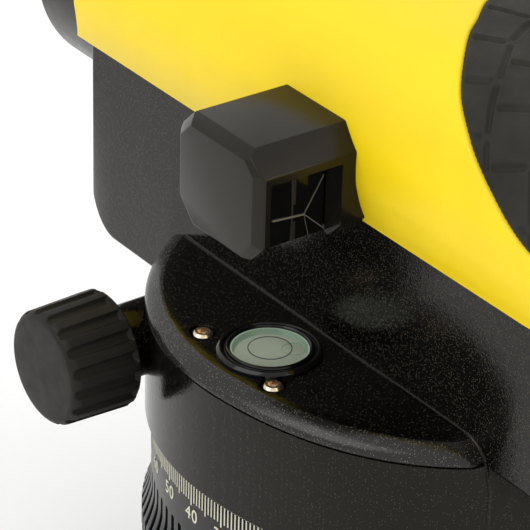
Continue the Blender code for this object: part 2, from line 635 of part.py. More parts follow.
def build_eyepiece(at):
    """Fixed tube with the reticle, sliding lens cell, turning dioptre ring and soft eyecup."""
    tube_r, cell_r, ring_r, rear = 12.0 * MM, 9.4 * MM, 15.6 * MM, -88.0 * MM
    ring("eyepiece_tube", tube_r, cell_r + RUN, -77 * MM, -54 * MM, ALUMINIUM, at=at, axis="Y")
    ring("reticle_mount", cell_r, 7.8 * MM, -60 * MM, -56 * MM, BRASS, at=at, axis="Y")
    disc("reticle", 7.4 * MM, -59 * MM, -57 * MM, GLASS, at=at, axis="Y")
    ring("eyepiece_cell", cell_r, 7.4 * MM, -84 * MM, -68 * MM, BRASS, at=at, axis="Y")
    turned("eyepiece_lens",
           [(0, -76.5 * MM), (7.0 * MM, -77.5 * MM), (7.0 * MM, -81 * MM), (0, -82.2 * MM)],
           GLASS, at=at, axis="Y")
    turned("dioptre_ring",
           [(ring_r - 0.4 * MM, -78.5 * MM), (ring_r, -79.2 * MM), (ring_r, -87 * MM), (14.6 * MM, rear),
            (cell_r + RUN, rear), (cell_r + RUN, -78.5 * MM)],
           BLACK, at=at, axis="Y", closed=True)
    turned("eyecup",
           [(14.2 * MM, rear - GAP), (14.8 * MM, -90.5 * MM), (14.8 * MM, -93 * MM),
            (14 * MM, -HALF_LENGTH), (10.2 * MM, -HALF_LENGTH), (8.6 * MM, rear - GAP)],
           RUBBER, at=at, axis="Y", closed=True)


def build_focus_drive():
    """Rack under the focusing cell, pinion shaft across the housing, and the knob on the right."""
    depth = 0.55 * MM
    top = SIGHT_Z - 11.4 * MM - GAP
    count = 13
    first = FOCUS_Y - RACK_PITCH * count / 2
    root = RACK_LINE + depth + 0.2 * MM
    outline = [(first, top)]
    for i in range(count):
        middle = first + (i + 0.5) * RACK_PITCH
        outline += [(middle - 0.3 * RACK_PITCH, root), (middle - 0.1 * RACK_PITCH, RACK_LINE - depth),
                    (middle + 0.1 * RACK_PITCH, RACK_LINE - depth), (middle + 0.3 * RACK_PITCH, root)]
    outline.append((first + count * RACK_PITCH, top))
    extruded("focus_rack", outline, -2 * MM, 2 * MM, STEEL, axis="X")
    teeth = toothed_outline(PINION_TEETH, PINION_R + depth - 0.12 * MM, PINION_R - depth - GAP, 0.2, 0.36,
                            math.pi / 2 + math.pi / PINION_TEETH)
    gear = extruded("focus_shaft", teeth, -3 * MM, 3 * MM, STEEL, axis="X")
    at = (0, FOCUS_Y, FOCUS_Z)
    gear.location = at
    join(gear, disc("focus_rod", FOCUS_ROD_R, -12 * MM, 46 * MM, None, at=at, axis="X", segments=16))
    ring("focus_bush", 5.5 * MM, FOCUS_ROD_R + RUN, 20 * MM, 31 * MM, BRASS, at=at, axis="X", segments=20)
    rim, near, far = FOCUS_KNOB_R, 31.6 * MM, 51 * MM
    turned("focus_knob",
           [(0, far), (rim - 1.4 * MM, far), (rim, far - 1.6 * MM), (rim, near + 1.6 * MM),
            (rim - 1.4 * MM, near), (FOCUS_ROD_R + GAP, near), (FOCUS_ROD_R + GAP, 46.4 * MM),
            (0, 46.4 * MM)], RUBBER, at=at, axis="X")


# ------------------------------------------------------------------ compensator
def build_compensator():
    y0, y1 = -40 * MM, -16 * MM
    middle = (y0 + y1) / 2
    frame = box("compensator_frame", (-19 * MM, y0, DECK_Z + 3.4 * MM), (19 * MM, y1, 136 * MM), ALUMINIUM)
    cut(frame, box("frame_window", (-16.5 * MM, y0 - MM, DECK_Z + 6 * MM),
                   (16.5 * MM, y1 + MM, 133 * MM), None))
    for side, name in ((-1, "left"), (1, "right")):
        x = side * 9 * MM
        box(f"suspension_band_{name}", (x - 1.5 * MM, middle - 0.15 * MM, 127.4 * MM),
            (x + 1.5 * MM, middle + 0.15 * MM, PENDULUM_Z), STEEL)
    arm = box("pendulum_arm", (-13.5 * MM, middle - 7 * MM, 101 * MM),
              (13.5 * MM, middle + 7 * MM, 127 * MM), ALUMINIUM)
    cut(arm, box("arm_window", (-11 * MM, middle - 8 * MM, 103.5 * MM),
                 (11 * MM, middle + 8 * MM, 124.5 * MM), None))
    outline = [(middle - 6.5 * MM, 106 * MM), (middle + 6.5 * MM, 106 * MM), (middle, 119 * MM)]
    prism = extruded("pendulum_prism", outline, -9 * MM, 9 * MM, GLASS, axis="X")
    plate = box("damping_plate", (-6 * MM, middle - 5 * MM, 95 * MM), (6 * MM, middle + 5 * MM, 100.7 * MM),
                BRASS)
    box("damping_magnet", (-7 * MM, middle - 6 * MM, DECK_Z + 6.4 * MM),
        (7 * MM, middle + 6 * MM, 94.2 * MM), STEEL)
    for piece in (arm, prism, plate):
        set_pivot(piece, (0, middle, PENDULUM_Z))
    for near, name in ((y0 - 7 * MM, "rear"), (y1 + 1 * MM, "front")):
        lean = [(near, 104 * MM), (near + 6 * MM, 104 * MM), (near + 6 * MM, 124 * MM), (near, 120 * MM)]
        extruded(f"{name}_prism", lean, -9 * MM, 9 * MM, GLASS, axis="X")


build_base()
build_circle()
build_drum()
build_drive()
build_vial()
build_housing()
build_hood()
build_telescope()
build_compensator()
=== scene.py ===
"""Looks of the automatic level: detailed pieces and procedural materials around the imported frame."""
import json
import math

import bmesh
import bpy
import numpy as np
from mathutils import Matrix, Vector


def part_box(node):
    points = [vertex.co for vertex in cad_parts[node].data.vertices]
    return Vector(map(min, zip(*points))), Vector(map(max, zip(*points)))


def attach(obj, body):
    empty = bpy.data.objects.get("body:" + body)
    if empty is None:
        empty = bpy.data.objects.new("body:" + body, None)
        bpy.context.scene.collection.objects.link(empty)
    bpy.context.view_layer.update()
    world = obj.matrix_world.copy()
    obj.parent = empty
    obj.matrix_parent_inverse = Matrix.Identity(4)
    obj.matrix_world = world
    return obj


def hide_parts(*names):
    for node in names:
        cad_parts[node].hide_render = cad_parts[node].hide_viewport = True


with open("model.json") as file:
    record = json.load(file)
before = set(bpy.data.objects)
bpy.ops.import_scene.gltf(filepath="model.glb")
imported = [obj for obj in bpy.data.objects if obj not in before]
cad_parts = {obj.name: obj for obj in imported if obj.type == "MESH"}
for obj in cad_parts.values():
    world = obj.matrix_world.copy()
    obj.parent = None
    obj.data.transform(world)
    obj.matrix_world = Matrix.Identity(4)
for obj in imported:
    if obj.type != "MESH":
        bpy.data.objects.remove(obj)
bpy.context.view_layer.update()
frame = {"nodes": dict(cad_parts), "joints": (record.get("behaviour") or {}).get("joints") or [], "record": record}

MM = 0.001
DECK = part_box("vial_bezel")[0].z - 0.3 * MM       # top of the shelf that carries the circular level
SIGHT = sum(c.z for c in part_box("objective_barrel")) / 2   # height of the line of sight
WALL_X = 26.1 * MM                                 # side walls of the housing
PI = math.pi


CORE = 0.001 * MM                                  # radius at which a turned solid closes on its own axis
MERGE_GAP = 0.002 * MM                             # points nearer than this become one


# ------------------------------------------------------------------ mesh helpers
def in_mm(*points):
    """The same points in metres. In an outline, a third value is a corner's radius."""
    return [tuple(value * MM for value in point) for point in points]


def middle_of(node_name):
    low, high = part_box(node_name)
    return (low + high) / 2


def linked(name, data):
    made = bpy.data.objects.new(name, data)
    bpy.context.scene.collection.objects.link(made)
    return made


def applied(body, helpers=()):
    """The object's mesh with its modifiers applied. The object and its helpers go."""
    bpy.context.view_layer.update()
    made = bpy.data.meshes.new_from_object(body.evaluated_get(bpy.context.evaluated_depsgraph_get()))
    for used in [*helpers, body]:
        bpy.data.objects.remove(used, do_unlink=True)
    return made


def new_object(name, mesh, material, body, replaced=(), angle=30):
    """A piece of the model. Edges sharper than the angle stay sharp; with None every face is flat."""
    made = linked(name, mesh)
    mesh.materials.clear()
    mesh.materials.append(material)
    if angle is not None:
        mesh.shade_smooth()
        mesh.set_sharp_from_angle(angle=math.radians(angle))
    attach(made, body)
    if replaced:
        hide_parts(*replaced)
    return made


def mesh_from(name, verts, faces):
    mesh = bpy.data.meshes.new(name)
    mesh.from_pydata([tuple(v) for v in verts], [], [tuple(int(i) for i in f) for f in faces])
    shape = bmesh.new()
    shape.from_mesh(mesh)
    bmesh.ops.remove_doubles(shape, verts=shape.verts, dist=MERGE_GAP)
    bmesh.ops.recalc_face_normals(shape, faces=shape.faces)
    shape.to_mesh(mesh)
    shape.free()
    return mesh


def grid_faces(rows, columns, wrap_rows=False, wrap_columns=False):
    faces = []
    for i in range(rows if wrap_rows else rows - 1):
        for j in range(columns if wrap_columns else columns - 1):
            a, b = i * columns + j, i * columns + (j + 1) % columns
            c, d = ((i + 1) % rows) * columns + (j + 1) % columns, ((i + 1) % rows) * columns + j
            faces.append((a, b, c, d))
    return faces


def lofted(name, rows):
    """Closed solid through rows of points, each of them a closed loop."""
    columns = len(rows[0])
    faces = grid_faces(len(rows), columns, False, True)
    faces += [tuple(range(columns)), tuple(range((len(rows) - 1) * columns, len(rows) * columns))]
    return mesh_from(name, [p for row in rows for p in row], faces)


def arc(centre, radius, start, end, steps):
    """Points of an arc in a plane, angles in degrees, both ends included."""
    return [(centre[0] + radius * math.cos(math.radians(start + (end - start) * i / steps)),
             centre[1] + radius * math.sin(math.radians(start + (end - start) * i / steps)))
            for i in range(steps + 1)]


def rounded(points, radius, closed=True, steps=4):
    """The same outline with its corners rounded. A point may carry its own radius as a third value."""
    out = []
    count = len(points)
    for i, point in enumerate(points):
        here = Vector(point[:2])
        r = point[2] if len(point) > 2 else radius
        if not closed and i in (0, count - 1) or r == 0:
            out.append(tuple(here))
            continue
        one = Vector(points[i - 1][:2]) - here
        two = Vector(points[(i + 1) % count][:2]) - here
        half = one.angle(two) / 2
        reach = min(r / math.tan(half), 0.49 * one.length, 0.49 * two.length)
        start, end = here + one.normalized() * reach, here + two.normalized() * reach
        for k in range(steps + 1):
            t = k / steps
            out.append(tuple((1 - t) ** 2 * start + 2 * t * (1 - t) * here + t * t * end))
    return out


AXIS_TURN = {"Z": Matrix.Identity(3),
             "X": Matrix(((0, 0, 1), (0, 1, 0), (-1, 0, 0))),
             "Y": Matrix(((1, 0, 0), (0, 0, 1), (0, -1, 0)))}


def lathe(name, profile, at, axis, segments, shift=None, closed=False):
    """Turned mesh. The profile is (radius, height) in metres; shift(radius, height, angle) may carve it."""
    columns = len(profile)
    verts = []
    for i in range(segments):
        angle = 2 * PI * i / segments
        for r, h in profile:
            radius = shift(r, h, angle) if shift else r
            spot = Vector((radius * math.cos(angle), radius * math.sin(angle), h))
            verts.append(AXIS_TURN[axis] @ spot + Vector(at))
    return mesh_from(name, verts, grid_faces(segments, columns, True, closed))


def turned(name, profile, at, axis, segments, look, body, replaced=(), angle=30, shift=None,
           closed=False):
    """A turned piece of the model, made by lathe()."""
    mesh = lathe(name, profile, at, axis, segments, shift, closed)
    return new_object(name, mesh, look, body, replaced, angle)


def plug(radius, start, end, at=(0, 0, 0), axis="Z", segments=64, core=0):
    """Cylinder that cuts a round hole. Its two ends are given in millimetres, like its radius."""
    profile = in_mm((core, start), (radius, start), (radius, end), (core, end))
    return lathe("plug", profile, at, axis, segments)


def prism(name, outline, low, high, axis="Z"):
    """A flat outline pushed out along an axis: outline is (x, y) for Z, (y, z) for X, (x, z) for Y."""
    def place(u, v, w):
        return {"Z": (u, v, w), "X": (w, u, v), "Y": (u, w, v)}[axis]
    count = len(outline)
    verts = [place(u, v, low) for u, v in outline] + [place(u, v, high) for u, v in outline]
    faces = [tuple(range(count)), tuple(range(count, 2 * count))]
    faces += [(i, (i + 1) % count, count + (i + 1) % count, count + i) for i in range(count)]
    return mesh_from(name, verts, faces)


def block(name, low, high):
    (x0, y0, z0), (x1, y1, z1) = low, high
    return prism(name, [(x0, y0), (x1, y0), (x1, y1), (x0, y1)], z0, z1)


def shelf_block(name, low, high):
    """A block given in millimetres, its heights over the shelf."""
    return block(name, *[(x * MM, y * MM, DECK + z * MM) for x, y, z in (low, high)])


def carve(mesh, cutters, operation="DIFFERENCE"):
    """The mesh after cutting, joining or intersecting it with other meshes, one after another."""
    body = linked("carved", mesh)
    tools = [linked("cutter", cutter) for cutter in cutters]
    for tool in tools:
        step = body.modifiers.new("cut", "BOOLEAN")
        step.object = tool
        step.operation = operation
        step.solver = "EXACT"
    return applied(body, tools)


def bevelled(mesh, width, segments=2, angle=30):
    """The mesh with its sharp edges rounded."""
    body = linked("bevelled", mesh)
    edge = body.modifiers.new("edge", "BEVEL")
    edge.width = width
    edge.segments = segments
    edge.limit_method = "ANGLE"
    edge.angle_limit = math.radians(angle)
    edge.harden_normals = False
    return applied(body)


def joined(meshes, name):
    """One mesh holding several, each kept as it is."""
    shape = bmesh.new()
    for mesh in meshes:
        shape.from_mesh(mesh)
    made = bpy.data.meshes.new(name)
    shape.to_mesh(made)
    shape.free()
    return made


def smooth_step(t):
    t = np.clip(t, 0, 1)
    return t * t * (3 - 2 * t)


def catmull(points, spacing):
    """Smooth curve through points, sampled at about the given spacing."""
    pts = [np.array(p, float) for p in points]
    pts = [2 * pts[0] - pts[1]] + pts + [2 * pts[-1] - pts[-2]]
    out = []
    for a, b, c, d in zip(pts, pts[1:], pts[2:], pts[3:]):
        steps = max(1, int(round(np.linalg.norm(c - b) / spacing)))
        for k in range(steps):
            t = k / steps
            out.append(0.5 * ((2 * b) + (c - a) * t + (2 * a - 5 * b + 4 * c - d) * t * t
                              + (3 * b - a - 3 * c + d) * t ** 3))
    out.append(pts[-2])
    return np.array(out)


# ------------------------------------------------------------------ materials
def material(name, base, roughness, metallic=0.0, gloss=0.5):
    made = bpy.data.materials.new(name)
    made.use_nodes = True
    tree = made.node_tree
    shader = tree.nodes["Principled BSDF"]
    shader.inputs["Base Color"].default_value = (*base, 1)
    shader.inputs["Roughness"].default_value = roughness
    shader.inputs["Metallic"].default_value = metallic
    shader.inputs["Specular IOR Level"].default_value = gloss
    # Dull dark finishes get a warm specular tint: a painted warm cast on their reflections.
    if gloss < 0.3:
        shader.inputs["Specular Tint"].default_value = (1.0, 0.92, 0.81, 1)
    return made, tree, shader


def noise(tree, scale, detail=3.0, stretch=(1, 1, 1)):
    """Noise in the object's own coordinates; scale is in features per metre."""
    place = tree.nodes.new("ShaderNodeTexCoord")
    mapping = tree.nodes.new("ShaderNodeMapping")
    mapping.inputs["Scale"].default_value = stretch
    made = tree.nodes.new("ShaderNodeTexNoise")
    made.inputs["Scale"].default_value = scale
    made.inputs["Detail"].default_value = detail
    tree.links.new(place.outputs["Object"], mapping.inputs["Vector"])
    tree.links.new(mapping.outputs["Vector"], made.inputs["Vector"])
    return made.outputs["Fac"]


def cells(tree, scale):
    place = tree.nodes.new("ShaderNodeTexCoord")
    made = tree.nodes.new("ShaderNodeTexVoronoi")
    made.inputs["Scale"].default_value = scale
    tree.links.new(place.outputs["Object"], made.inputs["Vector"])
    return made


def ramp(tree, value, stops):
    made = tree.nodes.new("ShaderNodeValToRGB")
    elements = made.color_ramp.elements
    while len(elements) < len(stops):
        elements.new(0.5)
    for element, (position, colour) in zip(elements, stops):
        element.position = position
        element.color = (*colour, 1)
    tree.links.new(value, made.inputs["Fac"])
    return made.outputs["Color"]


def span(tree, value, low, high, to_low, to_high):
    made = tree.nodes.new("ShaderNodeMapRange")
    for socket, number in zip(("From Min", "From Max", "To Min", "To Max"), (low, high, to_low, to_high)):
        made.inputs[socket].default_value = number
    tree.links.new(value, made.inputs["Value"])
    return made.outputs["Result"]


def vary_roughness(tree, shader, scale, detail, low, high):
    tree.links.new(span(tree, noise(tree, scale, detail), 0.3, 0.7, low, high), shader.inputs["Roughness"])


def bump(tree, shader, height, strength, distance):
    made = tree.nodes.new("ShaderNodeBump")
    made.inputs["Strength"].default_value = strength
    made.inputs["Distance"].default_value = distance
    tree.links.new(height, made.inputs["Height"])
    tree.links.new(made.outputs["Normal"], shader.inputs["Normal"])


def mixed(tree, factor, one, two):
    made = tree.nodes.new("ShaderNodeMix")
    made.data_type = "RGBA"
    tree.links.new(factor, made.inputs["Factor"])
    for socket, value in ((made.inputs[6], one), (made.inputs[7], two)):
        if isinstance(value, tuple):
            socket.default_value = (*value, 1)
        else:
            tree.links.new(value, socket)
    return made.outputs[2]


def speckled_paint(name, base, fleck, fleck_share, roughness, gloss):
    """Dark glossy stoving paint with fine sandy flecks and a slight orange peel."""
    made, tree, shader = material(name, base, roughness, 0.0, gloss)
    fine = cells(tree, 3300)      # about 0.3 mm from fleck to fleck
    split = tree.nodes.new("ShaderNodeSeparateColor")
    tree.links.new(fine.outputs["Color"], split.inputs["Color"])
    chosen = span(tree, split.outputs["Red"], 1 - fleck_share, 1 - 0.6 * fleck_share, 0.0, 1.0)
    near = span(tree, fine.outputs["Distance"], 0.16, 0.36, 1.0, 0.0)
    both = tree.nodes.new("ShaderNodeMath")
    both.operation = "MULTIPLY"
    tree.links.new(chosen, both.inputs[0])
    tree.links.new(near, both.inputs[1])
    cloud = ramp(tree, noise(tree, 60, 2.0),
                 [(0.3, tuple(0.8 * c for c in base)), (0.7, tuple(1.25 * c for c in base))])
    tree.links.new(mixed(tree, both.outputs[0], cloud, fleck), shader.inputs["Base Color"])
    peel = tree.nodes.new("ShaderNodeMath")
    peel.operation = "ADD"
    tree.links.new(noise(tree, 2600, 2.0), peel.inputs[0])
    tree.links.new(span(tree, noise(tree, 800, 1.0), 0, 1, 0, 0.8), peel.inputs[1])
    bump(tree, shader, peel.outputs[0], 0.25, 0.0001)
    vary_roughness(tree, shader, 1500, 2.0, roughness * 0.8, roughness * 1.25)
    return made


def moulded(name, base, roughness, grain_scale, grain_depth, spread=0.25, gloss=0.3):
    """Moulded plastic or rubber with a fine even grain and slight clouding."""
    made, tree, shader = material(name, base, roughness, 0.0, gloss)
    light = tuple(min(c * (1 + spread), 1) for c in base)
    dark = tuple(c * (1 - spread) for c in base)
    tree.links.new(ramp(tree, noise(tree, 90, 4.0), [(0.3, dark), (0.7, light)]), shader.inputs["Base Color"])
    vary_roughness(tree, shader, 350, 3.0, roughness * 0.88, min(roughness * 1.12, 1))
    bump(tree, shader, noise(tree, grain_scale, 2.0), 0.5, grain_depth)
    return made


def metal(name, base, roughness):
    """Turned metal: fine streaks of brightness and roughness."""
    made, tree, shader = material(name, base, roughness, 1.0)
    scale = 900
    dark = tuple(c * 0.8 for c in base)
    tree.links.new(ramp(tree, noise(tree, scale, 3.0, (1, 6, 1)), [(0.3, dark), (0.7, base)]),
                   shader.inputs["Base Color"])
    vary_roughness(tree, shader, scale * 2, 2.0, roughness * 0.7, roughness * 1.3)
    return made


def glass(name, tint):
    made, tree, shader = material(name, tint, 0.02)
    shader.inputs["Transmission Weight"].default_value = 1.0
    shader.inputs["IOR"].default_value = 1.5
    vary_roughness(tree, shader, 300, 2.0, 0.01, 0.04)
    return made


YELLOW = moulded("yellow_shell", (0.87, 0.63, 0.006), 0.42, 2600, 0.00002, 0.02, 0.3)
PAINT = speckled_paint("speckled_paint", (0.0022, 0.0020, 0.0017), (0.075, 0.062, 0.045), 0.3, 0.11, 0.23)
# Lighter, glossier copy of the drum's speckled paint for the rim's rounding: a painted highlight of the softbox
# above on the bead.
RIM_HIGHLIGHT_PAINT = speckled_paint("rim_painted_highlight", (0.010, 0.0095, 0.0080), (0.16, 0.15, 0.12), 0.5, 0.19, 0.36)
HOOD_BLACK = moulded("hood_black", (0.0068, 0.0058, 0.0042), 0.2, 3800, 0.000012, 0.25, 0.27)
BLACK = moulded("black_plastic", (0.006, 0.006, 0.006), 0.3, 3000, 0.00001)
GLOSS = moulded("gloss_black", (0.002, 0.002, 0.002), 0.1, 1500, 0.000003)
RUBBER = moulded("grip_rubber", (0.018, 0.0168, 0.0135), 0.6, 2200, 0.00004, 0.3, 0.22)
KNOB = moulded("knob_rubber", (0.0075, 0.0070, 0.0062), 0.5, 2600, 0.00003, 0.25, 0.24)
CREAM = moulded("dial_marks", (0.62, 0.60, 0.48), 0.5, 2600, 0.00001, 0.05)
STEEL = metal("steel", (0.62, 0.60, 0.57), 0.25)
NICKEL = metal("screw_nickel", (0.86, 0.70, 0.52), 0.2)
BRASS = metal("brass", (0.72, 0.52, 0.24), 0.28)
ANODISED = moulded("black_anodised", (0.007, 0.0068, 0.0064), 0.3, 2400, 0.00001, 0.25, 0.25)
GLASS = glass("optical_glass", (0.93, 0.97, 0.95))
# The vial's pale yellow-green, made brighter than its own colour: painted light in place of the light the lens
# above holds back.
VIAL_FLOOR = moulded("vial_floor", (0.93, 0.95, 0.80), 0.4, 1200, 0.00001, 0.05)
# Darker, more saturated green than the floor: painted shade on the vial's inner wall; the bubble's ring uses it
# too.
VIAL_SHADED_GREEN = moulded("vial_wall", (0.60, 0.78, 0.62), 0.3, 1200, 0.00001, 0.1)
RING_BLACK = moulded("ring_mark", (0.006, 0.006, 0.006), 0.4, 1500, 0.00001)
EDGE = moulded("ground_glass_edge", (0.15, 0.14, 0.115), 0.5, 2000, 0.00001, 0.05)

CAD_LOOK = {"casting": PAINT, "steel": STEEL, "rubber": KNOB, "brass": BRASS, "black_plastic": BLACK,
            "vial_green": VIAL_FLOOR, "yellow_paint": YELLOW, "optical_glass": GLASS,
            "black_aluminium": ANODISED}
for entry in frame["record"]["subparts"]:
    node = frame["nodes"][entry["node"]]
    node.data.materials.clear()
    node.data.materials.append(CAD_LOOK[entry["material_slot"]])


# ------------------------------------------------------------------ top cover and grip
SKIRT = [(28.0, 28.1), (29.5, 31.6), (30.55, 35.2), (30.9, 37.4), (30.9, 42.0), (29.9, 46.0), (27.4, 53.0),
         (23.5, 58.0), (17.0, 61.0), (8.0, 62.3), (0.0, 62.5)]
# The rubber's front edge: distance from the roof's middle round the section, and y, in millimetres.
GRIP_EDGE = [(0, -12.6), (4, -14.5), (8.9, -18.4), (13.2, -21.5), (19.8, -27.7), (24.9, -32.7), (28.8, -37.4),
             (32.4, -42.0), (35.7, -47.1), (38.8, -52.7), (41.3, -59.0), (43.4, -67.0), (44.7, -76.0)]
COVER_FRONT, COVER_REAR = 70.4 * MM, -76.0 * MM
REAR_SIDE = 44.7 * MM          # how far round from the roof's middle the rubber reaches at the rear
BARREL_HOLE, TUBE_HOLE = 24.25 * MM, 12.6 * MM
section = catmull(SKIRT, 0.45) * MM
section[:, 1] += DECK
section[-1] = (0.0, section[-1][1])
steps = np.linalg.norm(np.diff(section, axis=0), axis=1)
along = np.concatenate([[0], np.cumsum(steps)])
girth = along[-1]                      # from the lower edge to the roof's middle
edge_curve = catmull(GRIP_EDGE, 0.3) * MM


def taper(y):
    """Share of the full section: the cover narrows towards the eyepiece over its last stretch."""
    start, length, narrowing = -56 * MM, 20 * MM, 0.24
    u = np.clip((start - y) / length, 0, 1)
    return 1 - narrowing * u ** 2.2


def on_cover(round_mid, y, sink=0.0):
    """Point of the cover: round_mid is the signed distance from the roof's middle, sink goes inward."""
    s = girth - abs(round_mid)
    x = np.interp(s, along, section[:, 0])
    z = np.interp(s, along, section[:, 1])
    reach = 0.6 * MM
    ahead, behind = [np.array([np.interp(spot, along, section[:, k]) for k in (0, 1)])
                     for spot in (s + reach, s - reach)]
    tangent = (ahead - behind) / max(np.linalg.norm(ahead - behind), 1e-9)
    if abs(round_mid) < 0.7 * MM:
        tangent = np.array([-1.0, 0.0])
    x, z = x - sink * tangent[1], z + sink * tangent[0]
    k = taper(y)
    side = 1 if round_mid >= 0 else -1
    return (side * x * k, y, SIGHT + (z - SIGHT) * k)


def front_y(round_mid):
    """The cover's front edge leans forward towards the skirt's lower edge."""
    skirt, lean = 9.5 * MM, 3.3 * MM
    down = max(abs(round_mid) - (girth - skirt), 0) / skirt
    return COVER_FRONT + lean * down ** 2


def edge_y(round_mid):
    return np.interp(abs(round_mid), edge_curve[:, 0], edge_curve[:, 1])


def edge_distance(points):
    """Distance of (round_mid, y) points from the grip's edge line."""
    batch = 4000
    out = np.empty(len(points))
    for start in range(0, len(points), batch):
        part = points[start:start + batch]
        gaps = np.linalg.norm(part[:, None, :] - edge_curve[None, :, :], axis=2)
        out[start:start + batch] = gaps.min(axis=1)
    return out


def cap_columns(point, y_face, hole_r, radius, inward):
    """From a point of the section round a fillet onto an end face and in to a hole round the sight line."""
    x, z = point
    reach = math.hypot(x, z - SIGHT)
    count = 5
    out = []
    for k in range(1, count + 1):
        turn = PI / 2 * k / count
        shrink = radius * (1 - math.cos(turn)) / reach
        out.append((x * (1 - shrink), y_face - inward * radius * (1 - math.sin(turn)),
                    SIGHT + (z - SIGHT) * (1 - shrink)))
    x, _, z = out[-1]
    reach = math.hypot(x, z - SIGHT)
    for k in range(1, count + 1):
        share = 1 + (hole_r / reach - 1) * k / count
        out.append((x * share, y_face, SIGHT + (z - SIGHT) * share))
    return out


def shell_from(name, rows, thickness):
    """Closed shell from rows of outer points: the inner skin lies a thickness inside along the normals."""
    count, columns = len(rows), len(rows[0])
    flat = [p for row in rows for p in row]
    sheet = bpy.data.meshes.new(name)
    sheet.from_pydata([tuple(p) for p in flat], [], grid_faces(count, columns))
    shape = bmesh.new()
    shape.from_mesh(sheet)
    bmesh.ops.recalc_face_normals(shape, faces=shape.faces)
    shape.to_mesh(sheet)
    shape.free()
    middle = sheet.polygons[len(sheet.polygons) // 2]
    if middle.normal.dot(middle.center - Vector((0, middle.center.y, SIGHT))) < 0:
        sheet.flip_normals()
    body = linked(name, sheet)
    wall = body.modifiers.new("wall", "SOLIDIFY")
    wall.thickness = thickness
    wall.offset = -1
    return applied(body)


def row_spots(step):
    """Signed distances round the section for the rows, denser where the grip's edge runs nearly level."""
    level_from, level_to = 34 * MM, 45 * MM
    half = [0.0]
    while half[-1] < girth - step:
        fine = 0.4 if level_from < half[-1] < level_to else 1.0
        half.append(half[-1] + step * fine)
    half.append(girth)
    return [-r for r in reversed(half[1:])] + half


def build_cover():
    """Yellow cover in front of the rubber's edge, and its two narrow skirts beside the rubber."""
    fillet = 1.0 * MM
    ease = [0, 0.05, 0.12, 0.22, 0.35, 0.5, 0.7, 1.0]      # millimetres from the grip's edge
    rows = []
    for r in row_spots(0.9 * MM):
        row = []
        lip = front_y(r)
        front = on_cover(r, lip)
        row += cap_columns((front[0], front[2]), lip, BARREL_HOLE, fillet, 1)[::-1]
        start = lip - fillet
        if abs(r) < REAR_SIDE:
            back = edge_y(r)
            rise = edge_y(abs(r) + 0.3 * MM) - edge_y(abs(r) - 0.3 * MM)
            slope = abs(rise) / (0.6 * MM) if abs(r) > MM else 0
            stretch = math.sqrt(1 + slope * slope)
            near = [(back + w * MM * stretch, 0.55 * MM * (1 - min(w / 0.7, 1)) ** 2) for w in reversed(ease)]
        else:
            back = COVER_REAR + fillet
            near = [(back + w * MM, 0.0) for w in reversed(ease)]
        last = min(near[0][0], start - MM)
        for k in range(40):
            row.append(on_cover(r, start + (last - start) * k / 40))
        for y, sink in near:
            row.append(on_cover(r, min(y, last + 0.001 * MM), sink))
        rows.append(row)
    mesh = shell_from("cover_shell", rows, 1.5 * MM)
    skirts = []
    for side in (-1, 1):
        strip = []
        for k in range(26):
            r = side * (REAR_SIDE - 0.4 * MM + (girth - REAR_SIDE + 0.4 * MM) * k / 25)
            y = COVER_REAR + fillet
            point = on_cover(r, y)
            strip.append([point] + cap_columns((point[0], point[2]), COVER_REAR, TUBE_HOLE, fillet, -1))
        skirts.append(shell_from("rear_skirt", strip, 1.2 * MM))
    new_object("cover_shell", joined([mesh] + skirts, "cover_shell"), YELLOW, "alidade",
               ["top_cover"], 40)


def capsule_depth(across, run, half_length, half_width):
    """Depth share of a groove with round ends, 1 on its middle line and 0 outside."""
    beyond = np.maximum(np.abs(run) - half_length, 0)
    gap = np.hypot(across, beyond) / half_width
    return np.sqrt(np.clip(1 - gap * gap, 0, 1)), gap


# Middle line of the foremost dashes: distance from the roof's middle and y, in millimetres.
DASH_LINE = [(0, -25.2), (5, -26.2), (10, -28.7), (19.1, -36.2), (27.2, -42.0), (34.0, -45.8), (45, -50.5)]
COLUMN_W, ROW_PITCH, ROW_START, ROW_LEAN = 11.0 * MM, 8.8 * MM, 10.9 * MM, 0.37


def tread(spots):
    """How far the rubber sinks at (distance round, y) spots: columns of dashes with bars between them."""
    line = np.array(DASH_LINE) * MM
    behind = np.interp(spots[:, 0], line[:, 0], line[:, 1]) - spots[:, 1]
    level = spots[:, 0] + ROW_LEAN * behind - ROW_START
    nearest, column = np.round(behind / COLUMN_W), np.floor(behind / COLUMN_W)
    half_width, groove, lip = 0.55 * MM, 0.45 * MM, 0.08 * MM

    def within(number):
        return (level / ROW_PITCH - 0.5 * ((number + 1) % 2)) % 1

    dash = (within(nearest - 1) - 0.5) * ROW_PITCH
    bar_off = ((within(column) + 0.5) % 1 - 0.5) * ROW_PITCH * 0.94
    sink = np.zeros(len(spots))
    for across, along_it, half_length in (
            ((behind - nearest * COLUMN_W) * 0.8, dash, ROW_PITCH / 2 - 1.1 * MM),
            (bar_off, behind - (column + 0.5) * COLUMN_W, COLUMN_W / 2 - 1.9 * MM)):
        depth, gap = capsule_depth(across, along_it, half_length, half_width)
        sink += groove * depth - lip * np.exp(-((gap - 1.5) / 0.35) ** 2)
    return sink


